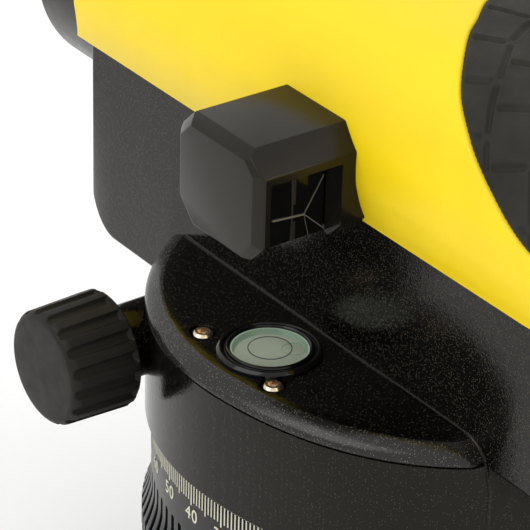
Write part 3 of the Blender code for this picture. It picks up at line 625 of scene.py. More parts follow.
def build_grip():
    """Rubber armour over the cover's rear: rows fan from its front edge to the rear rim."""
    fillet, count = 2.5 * MM, 150
    line = np.vstack([edge_curve[::-1] * (-1, 1), edge_curve[1:]])
    run = np.concatenate([[0], np.cumsum(np.linalg.norm(np.diff(line, axis=0), axis=1))])
    total = int(run[-1] / (0.42 * MM))
    spots = []
    for i in range(total + 1):
        here = np.array([np.interp(run[-1] * i / total, run, line[:, k]) for k in (0, 1)])
        rear = np.array([REAR_SIDE * (2 * i / total - 1), COVER_REAR + fillet])
        for k in range(count):
            t = (k / (count - 1)) ** 1.15
            spots.append(here + (rear - here) * t)
    spots = np.array(spots)
    folded = np.abs(spots) * (1, -1)
    distance = edge_distance(folded)
    sink = tread(folded) * smooth_step((distance - 0.6 * MM) / (0.8 * MM))
    sink += 0.75 * MM * (1 - np.clip(distance / (0.9 * MM), 0, 1)) ** 2 - 0.12 * MM
    rows = []
    for i in range(total + 1):
        row = []
        for k in range(count):
            index = i * count + k
            row.append(on_cover(spots[index][0], spots[index][1], sink[index]))
        x, y, z = row[-1]
        row += cap_columns((x, z), COVER_REAR, TUBE_HOLE, fillet, -1)
        rows.append(row)
    mesh = shell_from("grip_pad", rows, 0.9 * MM)
    new_object("grip_pad", mesh, RUBBER, "alidade", ["rear_grip"], 60)


def build_sight():
    low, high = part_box("peep_sight")
    foot, corner = low.z - 0.5 * MM, 0.8 * MM
    outline = rounded([(low.y, foot, 0), (high.y, foot, 0), (high.y - MM, high.z, corner),
                       (low.y + 1.5 * MM, high.z - 0.6 * MM, corner)], 0.5 * MM)
    body = bevelled(prism("peep_sight", outline, low.x, high.x, "X"), 0.3 * MM)
    notch = prism("notch", [(-0.9 * MM, high.z + MM), (0.9 * MM, high.z + MM), (0, high.z - 1.4 * MM)],
                  low.y - MM, high.y + MM, "Y")
    new_object("sight_rib", carve(body, [notch]), BLACK, "alidade", ["peep_sight"])


# ------------------------------------------------------------------ housing
HOUSING_FRONT, NOSE_BEND, NOSE_DEPTH = 71.4 * MM, 63.7 * MM, 11.9 * MM
TAIL_BEND = 6 * MM


def housing_lower(y):
    """Underside of the housing: deep at the nose with a long rounded corner, shallow behind the drum."""
    if y > 0:
        inset = min(max(y - NOSE_BEND, 0) / (HOUSING_FRONT - NOSE_BEND), 1)
        return DECK - MM - (NOSE_DEPTH - MM) * math.sqrt(1 - inset ** 2)
    back = max(-68 * MM - y, 0)
    return DECK - 4 * MM + TAIL_BEND - math.sqrt(max(TAIL_BEND ** 2 - back ** 2, 0))


def build_housing():
    """Hollow casting under the cover, cut away for the drum, the barrel, the tube and the focusing shaft."""
    top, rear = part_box("top_cover")[0].z - 0.25 * MM, -74 * MM
    edge, low_edge, wall = 0.9 * MM, 0.9 * MM, 2.6 * MM
    bend = HOUSING_FRONT - NOSE_BEND
    stations = [NOSE_BEND + bend * math.sin(PI / 2 * (k / 22) ** 0.8) for k in range(22, -1, -1)]
    stations += list(np.linspace(NOSE_BEND, 20 * MM, 16)[1:]) + list(np.linspace(0, -56 * MM, 4))
    stations += list(np.linspace(-58 * MM, rear, 26))
    rows = []
    for y in stations:
        half = WALL_X * float(taper(y)) ** 0.8
        if y > HOUSING_FRONT - edge:
            half -= edge - math.sqrt(max(edge ** 2 - (y - HOUSING_FRONT + edge) ** 2, 0))
        low = housing_lower(y)
        outline = [(half, top), (half, top - 8 * MM), (half, low + low_edge)]
        outline += arc((half - low_edge, low + low_edge), low_edge, 0, -90, 5)[1:]
        rows.append([(x, y, z) for x, z in outline] + [(-x, y, z) for x, z in outline[::-1]])
    solid = lofted("housing_body", rows)
    sunk = 0.35 * MM      # the housing reaches this far into the drum, so that no gap shows
    room_edge = [(DRUM_R - inset - sunk, DECK - depth - 0.1 * MM) for inset, depth in drum_edge()]
    room_edge += [(DRUM_R - sunk, 50 * MM), (0, 50 * MM)]
    drum = lathe("drum_room", [(0, DECK - 0.1 * MM)] + room_edge, (0, 0, 0), "Z", 96)
    room = block("room", (-WALL_X + wall, -62 * MM, DECK + 3 * MM), (WALL_X - wall, 68.2 * MM, 140 * MM))
    nose_room = block("nose_room", (-WALL_X + wall, 55 * MM, DECK - 8.9 * MM),
                      (WALL_X - wall, 66 * MM, 95 * MM))
    barrel = plug(24.2, 100, 60, (0, 0, SIGHT), "Y", 64)
    tube = plug(12.3, -58, -100, (0, 0, SIGHT), "Y", 48)
    focus = middle_of("focus_bush")
    hole = plug(5.8, 40, 10, (0, focus.y, focus.z), "X", 32)
    mesh = carve(solid, [drum, room, nose_room, barrel, tube, hole])
    new_object("housing_body", mesh, PAINT, "alidade", ["housing"], 28)


# ------------------------------------------------------------------ drum
DRUM_R = 51.3 * MM
SCREWS = ("vial_screw_1", "vial_screw_2")
RIM_TOP = 3.3 * MM      # how far in from the rim its rounding starts


def drum_edge():
    """The rounding between the shelf and the rim, as (inset, depth) pairs: a crease, then an eighth turn."""
    out = []
    for k in range(9):
        turn = PI / 4 * (1 - k / 8)
        out.append((RIM_TOP * (1 - math.cos(turn)) / (1 - math.cos(PI / 4)),
                    2.65 * MM * (1 - math.sin(turn) / math.sin(PI / 4))))
    return out


REAR_FACE = 45.7 * MM      # from the axis to the rear face, at the shelf
REAR_LEAN = 0.55           # how much the rear face runs back for each millimetre down


def drum_plan(angle):
    """Radius of the drum: a circle that swells towards its two rear corners."""
    swell, starts_at, runs_over = 4.1 * MM, 84, 54      # the last two in degrees from the rear
    from_rear = abs(math.degrees(math.atan2(math.cos(angle), -math.sin(angle))))
    return DRUM_R + swell * float(smooth_step((starts_at - from_rear) / runs_over))


def drum_radius(angle, inset, depth):
    """The same, cut off by the rear face, which leans back as it goes down."""
    radius = drum_plan(angle) - inset
    if math.sin(angle) < -0.3:
        rear = (REAR_FACE + REAR_LEAN * depth - inset * 0.7) / -math.sin(angle)
        k = 0.7 * MM
        blend = max(k - abs(radius - rear), 0) / k
        radius = min(radius, rear) - blend * blend * k / 4
    return radius


def drum_spot(angle, inset, depth):
    radius = drum_radius(angle, inset, depth)
    return radius * math.cos(angle), radius * math.sin(angle)


def drum_angles():
    out = []
    angle = -90.0
    while angle < 270:
        out.append(math.radians(angle))
        corner = min(abs(angle + 60), abs(angle + 120), abs(angle - 240))
        angle += 0.3 if corner < 4 else 1.5
    return out


def build_drum():
    """Drum under the housing, with the shelf, its rounded rim and the bead's groove below it."""
    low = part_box("drum")[0].z
    height = DECK - low
    profile = [(RIM_TOP + 2.5 * MM, 0.0)] + drum_edge()
    profile += in_mm((0.1, 2.85), (0.5, 2.95), (0.5, 3.2), (0.2, 3.35), (0.12, 8), (0.1, 14))
    profile += [(0.1 * MM, height - 0.5 * MM), (0.5 * MM, height), (8 * MM, height)]
    rows = [[(*drum_spot(angle, inset, depth), DECK - depth) for inset, depth in profile]
            for angle in drum_angles()]
    count, columns = len(rows), len(profile)
    faces = grid_faces(count, columns, True)
    faces.append(tuple(i * columns for i in range(count)))
    faces.append(tuple(i * columns + columns - 1 for i in range(count)))
    solid = mesh_from("drum_body", [p for row in rows for p in row], faces)
    inner = [drum_spot(angle, 3.6 * MM, 0) for angle in drum_angles()[::4]]
    hollow = prism("hollow", inner, low + 3.7 * MM, DECK - 4 * MM)
    vial = middle_of("circular_vial")
    cuts = [hollow, plug(12.9, DECK / MM - 1.2, 50, segments=48), plug(8.7, 90, 70, (vial.x, vial.y, 0))]
    for name in SCREWS:
        screw = middle_of(name)
        room = in_mm((0, 19), (2.75, 19), (2.75, 1), (2.45, 0), (2.35, -0.25), (2.35, -1.7), (0, -1.7))
        cuts.append(lathe("head_room", room, (screw.x, screw.y, DECK), "Z", 40))
    cuts += [plug(6.9, 8, -8, middle_of(f"drive_bush_{side}"), "X", 48) for side in ("left", "right")]
    drum = new_object("drum_body", carve(solid, cuts), PAINT, "alidade", ["drum"], 32)
    drum.data.materials.append(RIM_HIGHLIGHT_PAINT)      # the rounding between the shelf and the wall, painted lighter as its highlight
    # Only the rounding's upward-facing faces take the lighter paint, as a painted highlight.
    for face in drum.data.polygons:
        depth = DECK - face.center.z
        if 0.05 * MM < depth < 2.7 * MM and face.center.xy.length > DRUM_R - 3 * MM and face.normal.z > 0.05:
            face.material_index = 1
    build_foot_fillets(profile)


def build_foot_fillets(profile):
    """Small hollow fillet where the housing's wall meets the shelf, over the rim and down the rear corner."""
    for side, name in ((-1, "left"), (1, "right")):
        path = []
        for inset, depth in [(6 * MM, 0.0)] + profile[1:-1]:
            angle = min(drum_angles(), key=lambda a: abs(drum_radius(a, inset, depth) * math.cos(a) - WALL_X)
                        + (1 if math.sin(a) > 0 else 0))
            y = -math.sqrt(max(drum_radius(angle, inset, depth) ** 2 - WALL_X ** 2, 0))
            path.append(Vector((side * WALL_X, y, DECK - depth)))
        front = [Vector((side * WALL_X, y * MM, DECK)) for y in np.linspace(39.8, path[0].y / MM + 1, 24)]
        path = [p for p in front + path if p.z > DECK - 20 * MM]
        rows = []
        for i, point in enumerate(path):
            ahead = path[min(i + 1, len(path) - 1)] - path[max(i - 1, 0)]
            up = Vector((0, ahead.z, -ahead.y)).normalized()
            if up.z < 0 and abs(ahead.y) > abs(ahead.z):
                up = -up
            out = Vector((side, 0, 0))
            r = (0.55 if point.z > DECK - 2.7 * MM else 0.25) * MM
            row = [point - out * 0.3 * MM - up * 0.3 * MM, point + up * r - out * 0.3 * MM]
            for k in range(6):
                turn = PI / 2 * k / 5
                row.append(point + out * r * (1 - math.cos(turn)) + up * r * (1 - math.sin(turn)))
            row.append(point + out * r - up * 0.3 * MM)
            rows.append(row)
        mesh = lofted(f"wall_fillet_{name}", rows)
        new_object(f"wall_fillet_{name}", mesh, PAINT, "alidade", (), 50)


# ------------------------------------------------------------------ horizontal circle
def build_circle():
    """The graduated band and its fluted edge: slots in the band, and ridges between them that flare out."""
    low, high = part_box("horizontal_circle")
    band, knurl, bore, step_z = 50.0 * MM, high.x, 25.8 * MM, 42.4 * MM
    flutes, first = 108, math.radians(155.3)
    slot_top, ridge_top, ridge_full = DECK - 36.2 * MM, DECK - 39.5 * MM, DECK - 45.6 * MM
    half_slot, slot_depth = 0.58 * MM, 0.5 * MM
    phases = (-0.5, -0.34, -0.26, -0.215, -0.19, -0.13, 0, 0.13, 0.19, 0.215, 0.26, 0.34)
    pitch = 2 * PI * band / flutes
    heights = [high.z, slot_top + 0.1 * MM] + list(np.linspace(slot_top, slot_top - MM, 9))
    heights += [ridge_top + 0.5 * MM] + [ridge_top - (ridge_top - ridge_full) * k / 6 for k in range(7)]
    heights += list(np.linspace(ridge_full, low.z + 0.4 * MM, 4))[1:] + [low.z + 0.15 * MM, low.z]

    def outer(z, phase):
        below = slot_top - z
        if below > 0:
            tip = half_slot * math.sqrt(1 - max(1 - below / half_slot, 0) ** 2)
            if abs(phase) * pitch < tip:
                return band - slot_depth
        step = min(max((ridge_top - z) / (ridge_top - ridge_full), 0), 1)
        edge = 0.25 * MM if z < low.z + 0.1 * MM else 0.0
        side = 0.3 * MM * max((0.24 - abs(phase)) / 0.05, 0) if step else 0
        return band + (knurl - band) * step ** 1.5 - edge - side * step

    rows = []
    for flute in range(flutes):
        for phase in phases:
            angle = first + 2 * PI * (flute + phase) / flutes
            row = [(band - 2.4 * MM, high.z - 2 * MM), (band - 2.2 * MM, high.z)]
            row += [(outer(z, phase) - (0.25 * MM if z == high.z else 0), z) for z in heights]
            row += [(knurl - 3 * MM, low.z), (knurl - 3 * MM, low.z + 2.6 * MM), (bore, low.z + 2.8 * MM),
                    (bore, step_z), (band - 2.4 * MM, step_z)]
            rows.append([(r * math.cos(angle), r * math.sin(angle), z) for r, z in row])
    faces = grid_faces(len(rows), len(rows[0]), True, True)
    mesh = mesh_from("circle_ring", [p for row in rows for p in row], faces)
    new_object("circle_ring", mesh, BLACK, "circle", ["horizontal_circle"], 35)
    build_ticks(band)
    build_numbers(band)


ZERO_MARK = -143.29      # where the circle's zero stands at rest, in degrees


def tick_angle(degree):
    return math.radians(ZERO_MARK - degree)


MARK_PROUD, MARK_SUNK = 0.03 * MM, -0.1 * MM      # the marks' outer and inner faces against the band


def build_ticks(band):
    """A tick for each degree, longer at every fifth."""
    verts, faces = [], []
    top = DECK - 25.2 * MM
    for degree in range(360):
        bottom = DECK - (29.9 if degree % 5 == 0 else 29.1) * MM
        half = (0.15 if degree % 10 == 0 else 0.125) * MM
        angle = tick_angle(degree)
        outward = Vector((math.cos(angle), math.sin(angle), 0))
        across = Vector((-outward.y, outward.x, 0)) * half
        start = len(verts)
        for face, z in ((MARK_PROUD, top), (MARK_PROUD, bottom), (MARK_SUNK, bottom), (MARK_SUNK, top)):
            foot = outward * (band + face) + Vector((0, 0, z))
            verts += [foot - across, foot + across]
        for a, b in ((0, 2), (2, 4), (4, 6), (6, 0)):
            faces.append((start + a, start + b, start + b + 1, start + a + 1))
        faces += [(start, start + 2, start + 4, start + 6), (start + 1, start + 3, start + 5, start + 7)]
    mesh = mesh_from("circle_ticks", verts, faces)
    new_object("circle_ticks", mesh, CREAM, "circle", (), None)


def digits_mesh(text, height):
    """Flat mesh of a number, centred, with the given height."""
    curve = bpy.data.curves.new("digits", "FONT")
    curve.body = text
    curve.align_x = "CENTER"
    curve.size = 1.0
    curve.extrude = 0.03
    curve.space_character = 1.12
    mesh = applied(linked("digits", curve))
    co = np.array([v.co for v in mesh.vertices])
    low, high = co.min(0), co.max(0)
    scale = height / (high[1] - low[1])
    mesh.transform(Matrix.Translation((-(low[0] + high[0]) / 2, -high[1], 0)))
    mesh.transform(Matrix.Diagonal((scale, scale, scale, 1)))
    return mesh


def build_numbers(band):
    pieces = []
    for degree in range(0, 360, 10):
        mesh = digits_mesh(str(degree), 2.6 * MM)
        middle = tick_angle(degree)
        for vertex in mesh.vertices:
            angle = middle + vertex.co.x / band
            radius = band + (MARK_PROUD if vertex.co.z > 0 else MARK_SUNK)
            vertex.co = (radius * math.cos(angle), radius * math.sin(angle), DECK - 30.5 * MM + vertex.co.y)
        pieces.append(mesh)
    new_object("circle_numbers", joined(pieces, "circle_numbers"), CREAM, "circle", (), None)


# ------------------------------------------------------------------ knobs
def groove_phase(angle, count):
    """0 in the middle of a groove and 1 half-way to the next, for so many grooves round the axis."""
    return abs((angle * count / (2 * PI)) % 1 - 0.5) * 2


def fluted(rim, start, end, count, depth, width):
    """Shift for a lathe: round-bottomed flutes with round outer ends, open at the end side."""
    def shift(radius, height, angle):
        if radius < rim - 2.6 * MM:
            return radius
        phase = groove_phase(angle, count)
        into = (height - start) / (end - start)
        if into <= 0:
            return radius
        share = math.sqrt(min(into / 0.12, 1))
        across = phase / (width * share + 1e-6)
        if across >= 1:
            return radius
        return radius - depth * min(into / 0.10, 1) ** 0.5 * (1 - across * across)
    return shift


DRIVE_FLUTES, FLUTE_FIRST, FLUTE_HALF = 17, math.radians(230.2), math.radians(5.6)


def build_drive_knobs():
    """Both knobs of the endless drive, with flutes that run out before the inner end, and their collars."""
    tip, root, edge, dome = 10.65 * MM, 10.95 * MM, 1.75 * MM, 0.3 * MM
    floor_r = 10.0 * MM

    def groove(radius, inward, angle):
        pitch = 2 * PI / DRIVE_FLUTES
        off = abs((angle - FLUTE_FIRST + pitch / 2) % pitch - pitch / 2) / FLUTE_HALF
        if off >= 1 or radius < 8.2 * MM:
            return radius
        run_out = float(smooth_step((0.9 * MM - inward) / (0.8 * MM)))
        depth = (root - floor_r) * (1 - run_out) * math.sqrt(1 - off ** 4)
        return min(radius, root - depth)

    for side, name in ((-1, "left"), (1, "right")):
        low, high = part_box(f"drive_knob_{name}")
        y, z = (low.y + high.y) / 2, (low.z + high.z) / 2
        length = high.x - low.x
        start = dome + edge
        profile = in_mm((0.001, 0), (3.5, 0.05), (6.5, 0.15), (8, 0.24))
        profile += [(tip - edge + edge * math.sin(t), dome + edge * (1 - math.cos(t)))
                    for t in np.linspace(0.1, PI / 2, 14)]
        side_end = length - 0.3 * MM
        profile += [(tip + (root - tip) * k / 9, start + (side_end - MM - start) * k / 9)
                    for k in range(1, 10)]
        profile += [(root, side_end - MM + MM * k / 5) for k in range(1, 6)]
        profile += [(root - 0.35 * MM, length), (7.9 * MM, length), (7.6 * MM, length - 1.2 * MM),
                    (3.3 * MM, length - 1.2 * MM), (3.3 * MM, length - 8 * MM), (CORE, length - 8 * MM)]
        outer = side * max(abs(low.x), abs(high.x))
        inner = outer - side * length
        carved = (lambda r, x, a, end=inner: groove(r, abs(x - end), a))
        turned(f"drive_grip_{name}", [(r, outer - side * h) for r, h in profile], (0, y, z), "X",
               DRIVE_FLUTES * 24, KNOB, "drive", [f"drive_knob_{name}"], 50, carved)
        collar = in_mm((3.4, 37.5), (6.8, 37.5), (6.8, 50.3), (6.4, 50.6), (3.4, 50.6))
        ring = rounded([(r, side * h) for r, h in collar], 0.4 * MM)
        turned(f"drive_collar_{name}", ring, (0, y, z), "X", 72, PAINT, "alidade",
               [f"drive_bush_{name}"], 40, closed=True)


def build_focus_knob():
    low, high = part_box("focus_knob")
    y, z = (low.y + high.y) / 2, (low.z + high.z) / 2
    rim, length = high.z - z - 0.1 * MM, high.x - low.x
    outline = [(CORE, 0.0, 0), (rim - 3 * MM, 0.0, 0.6 * MM), (rim - 2.2 * MM, 0.5 * MM, 0.6 * MM),
               (rim - 0.3 * MM, 0.5 * MM, 1.4 * MM)]
    outline = rounded(outline + [(rim - 0.2 * MM, 3 * MM, 0)], 0.5 * MM, False, 5)
    outline += [(rim, 3 * MM + (length - 4 * MM) * k / 14) for k in range(1, 15)]
    outline += [(rim - 0.8 * MM, length), (2.75 * MM, length), (2.75 * MM, 5 * MM), (CORE, 5 * MM)]
    shift = fluted(rim, 2.5 * MM, length, 20, 0.8 * MM, 0.6)
    profile = [(r, high.x - h) for r, h in outline]
    carved = (lambda r, h, a: shift(r, high.x - h, a))
    turned("focus_grip", profile, (0, y, z), "X", 240, KNOB, "focus_drive", ["focus_knob"], 50,
           carved)


# ------------------------------------------------------------------ circular level
def build_vial():
    """Bezel, wall and floor, reading circle, lens and bubble; the wall is painted a darker green than the floor as
    shade. Heights are over the shelf.
    """
    middle = middle_of("circular_vial")
    x, y = middle.x, middle.y
    at = (x, y, DECK)

    def ring(name, profile, segments, look, slot="vial_green", replaced=(), angle=40, spot=at):
        turned(name, profile, spot, "Z", segments, look, "alidade", replaced, angle, closed=True)

    bezel = rounded(in_mm((9.3, -0.2, 0), (9.3, 0.55), (8.75, 1.05), (8.3, 1.0), (8.1, 0.62), (7.75, 0.62),
                          (7.6, 1.15), (7.15, 1.25), (6.9, 0.9), (6.9, -0.4, 0)), 0.16 * MM, True, 3)
    ring("vial_bezel_ring", bezel[::-1], 120, GLOSS, "black_plastic", ["vial_bezel"])
    wall = in_mm((6.85, 0.7), (6.85, -1.2), (5.5, -1.2), (5.9, -0.5), (6.4, -0.1), (6.62, 0.7))
    ring("vial_wall", wall, 96, VIAL_SHADED_GREEN)
    floor = in_mm((0.001, -0.35), (4.4, -0.4), (5.0, -0.3), (6.3, -0.45), (6.3, -0.9), (0.001, -0.9))
    turned("vial_floor", floor, at, "Z", 96, VIAL_FLOOR, "alidade", (), 40)
    ring("vial_mark", in_mm((3.86, 0.56), (3.70, 0.56), (3.70, 0.5), (3.86, 0.5)), 96, RING_BLACK, angle=None)
    lens = in_mm((0.001, 0.95), (3, 0.92), (5.5, 0.84), (6.6, 0.72), (6.6, 0.6), (0.001, 0.6))
    turned("vial_lens", lens, at, "Z", 96, GLASS, "alidade", ["circular_vial"], 40)
    ring("vial_bubble", in_mm((2.1, 0.42), (1.95, 0.3), (1.98, 0.48)), 64, VIAL_SHADED_GREEN, angle=60,
         spot=(x + 3.3 * MM, y - 2.3 * MM, DECK))
    for name in SCREWS:
        build_socket_screw(name)


def build_socket_screw(name):
    low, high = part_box(name)
    x, y = (low.x + high.x) / 2, (low.y + high.y) / 2
    top, seat = DECK + 0.15 * MM, DECK - 1.3 * MM
    profile = rounded([(CORE, top, 0), (1.45 * MM, top, 0.15 * MM), (1.85 * MM, top - 0.5 * MM, 0.2 * MM),
                       (1.85 * MM, seat, 0.1 * MM), (1.1 * MM, seat, 0), (1.1 * MM, low.z, 0),
                       (CORE, low.z, 0)], 0.1 * MM, False, 4)
    head = lathe(name, profile, (x, y, 0), "Z", 48)
    hexagon = prism("hexagon", arc((x, y), 0.95 * MM, 12, 312, 5), top - 0.9 * MM, top + MM)
    mesh = carve(head, [hexagon])
    new_object(f"socket_screw_{name[-1]}", mesh, NICKEL, "alidade", [name], 30)


# ------------------------------------------------------------------ hood over the circular level
def sliced(mesh, planes):
    """Cuts a convex block by planes, each a point and an outward normal in millimetres over the shelf."""
    shape = bmesh.new()
    shape.from_mesh(mesh)
    for (px, py, pz), normal in planes:
        geom = list(shape.verts) + list(shape.edges) + list(shape.faces)
        cut = bmesh.ops.bisect_plane(shape, geom=geom, dist=1e-7, plane_co=(px * MM, py * MM, DECK + pz * MM),
                                     plane_no=normal, clear_outer=True)
        edges = [e for e in cut["geom_cut"] if isinstance(e, bmesh.types.BMEdge)]
        bmesh.ops.holes_fill(shape, edges=edges)
    bmesh.ops.recalc_face_normals(shape, faces=shape.faces)
    shape.to_mesh(mesh)
    shape.free()
    return mesh


HOOD_MIDDLE = Vector((-38, -3, 36))


def plane_through(a, b, c):
    """The plane through three points as a point and its normal away from the hood's middle."""
    a, b, c = Vector(a), Vector(b), Vector(c)
    normal = (b - a).cross(c - a).normalized()
    if normal.dot(a - HOOD_MIDDLE) < 0:
        normal = -normal
    return tuple(a), tuple(normal)


# The hood's chamfers and bevelled corners: each cut goes through three points, in millimetres over the shelf.
HOOD_CUTS = (((-50.5, 0, 44.5), (-48.3, 0, 46), (-48.3, -5, 46)),
             ((-40, -15.9, 42.3), (-40, -11.3, 46), (-30, -11.3, 46)),
             ((-50.5, -13.9, 35), (-49.4, -15.9, 35), (-49.4, -15.9, 30)),
             ((-50.5, 3.6, 44.5), (-50.5, 6.6, 41.6), (-48.5, 5.1, 46)),
             ((-50.5, 6.6, 30.4), (-50.5, 2.6, 26.4), (-48.6, 8.4, 30.4)),
             ((-50.5, 6.6, 35), (-49.0, 8.4, 35), (-49.0, 8.4, 30)),
             ((-50.5, -11.0, 45.0), (-50.5, -13.9, 42.2), (-49.3, -15.9, 43.0)),
             ((-30, 5.0, 46), (-30, 8.4, 42.9), (-45, 8.4, 42.9)),
             ((-30, 8.4, 30.4), (-30, 4.4, 26.4), (-45, 4.4, 26.4)),
             ((-40, -15.9, 29.6), (-40, -12.7, 26.4), (-30, -12.7, 26.4)),
             ((-50.5, -14.0, 30.3), (-50.5, -11.3, 27.0), (-49.7, -12.85, 26.4)))


def build_hood():
    """Hollow hood with a window at the rear, cut to sit on the housing's wall and the cover's curve."""
    solid = shelf_block("hood", (-50.5, -15.9, 26.4), (-22, 8.4, 46))
    solid = bevelled(sliced(solid, [plane_through(*points) for points in HOOD_CUTS]), 0.22 * MM, 2, 8)
    window = shelf_block("window", (-48.2, -21, 15), (-33.7, -11.4, 40.9))
    inside = shelf_block("inside", (-48.7, -11.5, 15), (-33.2, 6.5, 42.2))
    inner = []
    for y in (-30 * MM, 30 * MM):
        outline = [on_cover(r, 0, 0.0) for r in np.linspace(girth, 20 * MM, 40)]
        row = [(-x - 0.05 * MM, y, z) for x, _, z in outline]
        inner.append(row + [(0, y, outline[-1][2]), (0, y, outline[0][2])])
    seat = lofted("seat", inner)
    wall = shelf_block("wall", (-26.15, -30, 15), (0, 30, 28.2))
    mesh = carve(solid, [window, inside, seat, wall])
    new_object("hood_shell", mesh, HOOD_BLACK, "alidade", ["prism_hood"], 12)


def bar(name, start, end, width):
    """Thin square bar between two points, turned so that a flat faces along its shorter way."""
    start, end = Vector(start), Vector(end)
    run = (end - start).normalized()
    side = run.cross(Vector((0, 1, 0))).normalized() * width / 2
    face = run.cross(side).normalized() * width / 2
    verts = [p + a * side + b * face for p in (start, end) for a, b in ((-1, -1), (1, -1), (1, 1), (-1, 1))]
    faces = [(0, 1, 2, 3), (4, 5, 6, 7)] + [(i, (i + 1) % 4, 4 + (i + 1) % 4, 4 + i) for i in range(4)]
    return mesh_from(name, verts, faces)


def build_prism():
    """Dark glass prism behind the window, its ground edges meeting in a point."""
    low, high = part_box("bubble_prism")
    y0, z0, z1 = -11.2 * MM, DECK + 26.6 * MM, DECK + 42.0 * MM
    x0, x1 = low.x, high.x
    apex = Vector((-38.0 * MM, y0 - 0.15 * MM, DECK + 30.95 * MM))
    corners = [Vector((x0, y0, z0)), Vector((x1, y0, z0)), Vector((x1, y0, z1)), Vector((x0, y0, z1))]
    verts = corners + [c + Vector((0, 10 * MM, 0)) for c in corners] + [apex]
    faces = [(0, 1, 8), (1, 2, 8), (2, 3, 8), (3, 0, 8), (4, 5, 6, 7)]
    faces += [(i, (i + 1) % 4, 4 + (i + 1) % 4, 4 + i) for i in range(4)]
    new_object("prism_block", mesh_from("prism_block", verts, faces), GLOSS, "alidade",
               ["bubble_prism"], 10)
    tip = apex + Vector((0, -0.05 * MM, 0))
    ends = ((-34.1, 37.2, 0.14), (-34.0, 27.3, 0.14), (-44.5, 31.5, 0.3), (-37.0, 26.8, 0.06))
    edges = [bar("edge", tip, (x * MM, tip.y, DECK + z * MM), width * MM) for x, z, width in ends]
    new_object("prism_edges", joined(edges, "prism_edges"), EDGE, "alidade", (), None)
    post = bevelled(shelf_block("post", (-40.6, -11.32, 26.6), (-39.6, -10.2, 42)), 0.1 * MM)
    new_object("prism_post", post, RUBBER, "alidade", (), 30)


# ------------------------------------------------------------------ objective
def build_objective():
    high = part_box("objective_barrel")[1]
    rim, front = high.x, high.y
    at = (0, 0, SIGHT)
    bore = 20.6 * MM
    profile = rounded([(rim, 63 * MM, 0), (rim, front, 0.7 * MM), (bore + 0.8 * MM, front, 0.5 * MM),
                       (bore, front - 1.2 * MM, 0.3 * MM)], 0.5 * MM, False, 5)
    depth = front - 1.6 * MM
    while depth > 80 * MM:
        profile += [(bore, depth), (bore + 0.35 * MM, depth - 0.35 * MM), (bore, depth - 0.7 * MM)]
        depth -= 1.0 * MM
    profile += [(bore, 66 * MM), (18 * MM, 66 * MM), (18 * MM, 63 * MM)]
    turned("barrel_tube", profile, at, "Y", 128, ANODISED, "alidade", ["objective_barrel"],
           30, closed=True)
    ring = in_mm((20.3, 77.4), (18.2, 77.4), (17.4, 76.4), (17.4, 74.4), (20.3, 74.4))
    ring = rounded(ring, 0.25 * MM, True, 3)
    cuts = [block("slot", (-21 * MM, 76.2 * MM, SIGHT - MM), (21 * MM, 78 * MM, SIGHT + MM))]
    mesh = carve(lathe("lens_ring", ring, at, "Y", 96, None, True), cuts)
    new_object("lens_ring", mesh, ANODISED, "alidade", ["objective_ring"], 30)
    bulge = [(17.0 * k / 10, 75.4 - 2.1 * (k / 10) ** 2) for k in range(1, 11)]
    lens = in_mm((0.001, 75.4), *bulge, (20.2, 73.2), (20.2, 67), (0.001, 66.6))
    turned("front_lens", lens, at, "Y", 96, GLASS, "alidade", ["objective_lens"], 30)


# ------------------------------------------------------------------ eyepiece
def build_eyepiece():
    low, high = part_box("dioptre_ring")
    rim = high.x
    at = (0, 0, SIGHT)
    outline = [(rim - 1.0 * MM, high.y), (rim - 0.1 * MM, high.y - 0.9 * MM)]
    outline += [(rim, y) for y in np.linspace(high.y - 1.2 * MM, low.y + 1.4 * MM, 8)]
    outline += [(rim - 0.9 * MM, low.y), (9.8 * MM, low.y), (9.8 * MM, low.y + 3.4 * MM),
                (12.4 * MM, low.y + 3.4 * MM), (12.4 * MM, high.y)]

    def knurl(radius, height, angle):
        if radius < rim - 0.3 * MM or not low.y + 1.2 * MM < height < high.y - 1.0 * MM:
            return radius
        phase = groove_phase(angle, 48)
        return radius - 0.4 * MM * max(1 - (phase / 0.55) ** 2, 0)

    turned("dioptre_grip", outline[::-1], at, "Y", 288, BLACK, "dioptre",
           ["dioptre_ring"], 40, knurl, True)
    cup_low, cup_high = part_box("eyecup")
    cup = rounded([(14.0 * MM, cup_high.y, 0.2 * MM), (14.9 * MM, cup_high.y - 2.4 * MM, 1.2 * MM),
                   (14.7 * MM, cup_low.y + 0.8 * MM, 0.8 * MM), (14.0 * MM, cup_low.y, 0.6 * MM),
                   (11.0 * MM, cup_low.y, 0.8 * MM), (8.8 * MM, cup_high.y, 0.3 * MM)], 0.5 * MM, True, 5)
    turned("eyecup_soft", cup[::-1], at, "Y", 96, KNOB, "dioptre", ["eyecup"], 50, closed=True)


# ------------------------------------------------------------------ levelling base
FOOT_R = 44 * MM
FEET = [joint["pos_m"] for joint in frame["joints"] if joint["name"].startswith("foot_screw")]
FOOT_ANGLES = [math.atan2(foot[1], foot[0]) for foot in FEET]
FOOT_SPOTS = [(FOOT_R * math.cos(turn), FOOT_R * math.sin(turn), 0) for turn in FOOT_ANGLES]


def three_arms(corner, waist):
    """Outline with a round end at each levelling screw and a waist between them, every corner cut once."""
    points = []
    for turn, centre in zip(FOOT_ANGLES, FOOT_SPOTS):
        degrees = math.degrees(turn)
        points += arc(centre, corner, degrees - 80, degrees + 80, 20)
        points += arc((0, 0), waist, degrees + 40, degrees + 80, 8)
    points = [np.array(p) for p in points]
    out = []
    for a, b in zip(points, points[1:] + points[:1]):
        out += [tuple(0.75 * a + 0.25 * b), tuple(0.25 * a + 0.75 * b)]
    return out


def hub_profile(*points):
    return rounded(in_mm(*points), 0.5 * MM, False)


def foot_holes(radius, start, end, segments):
    return [plug(radius, start, end, at, "Z", segments, 0.001) for at in FOOT_SPOTS]


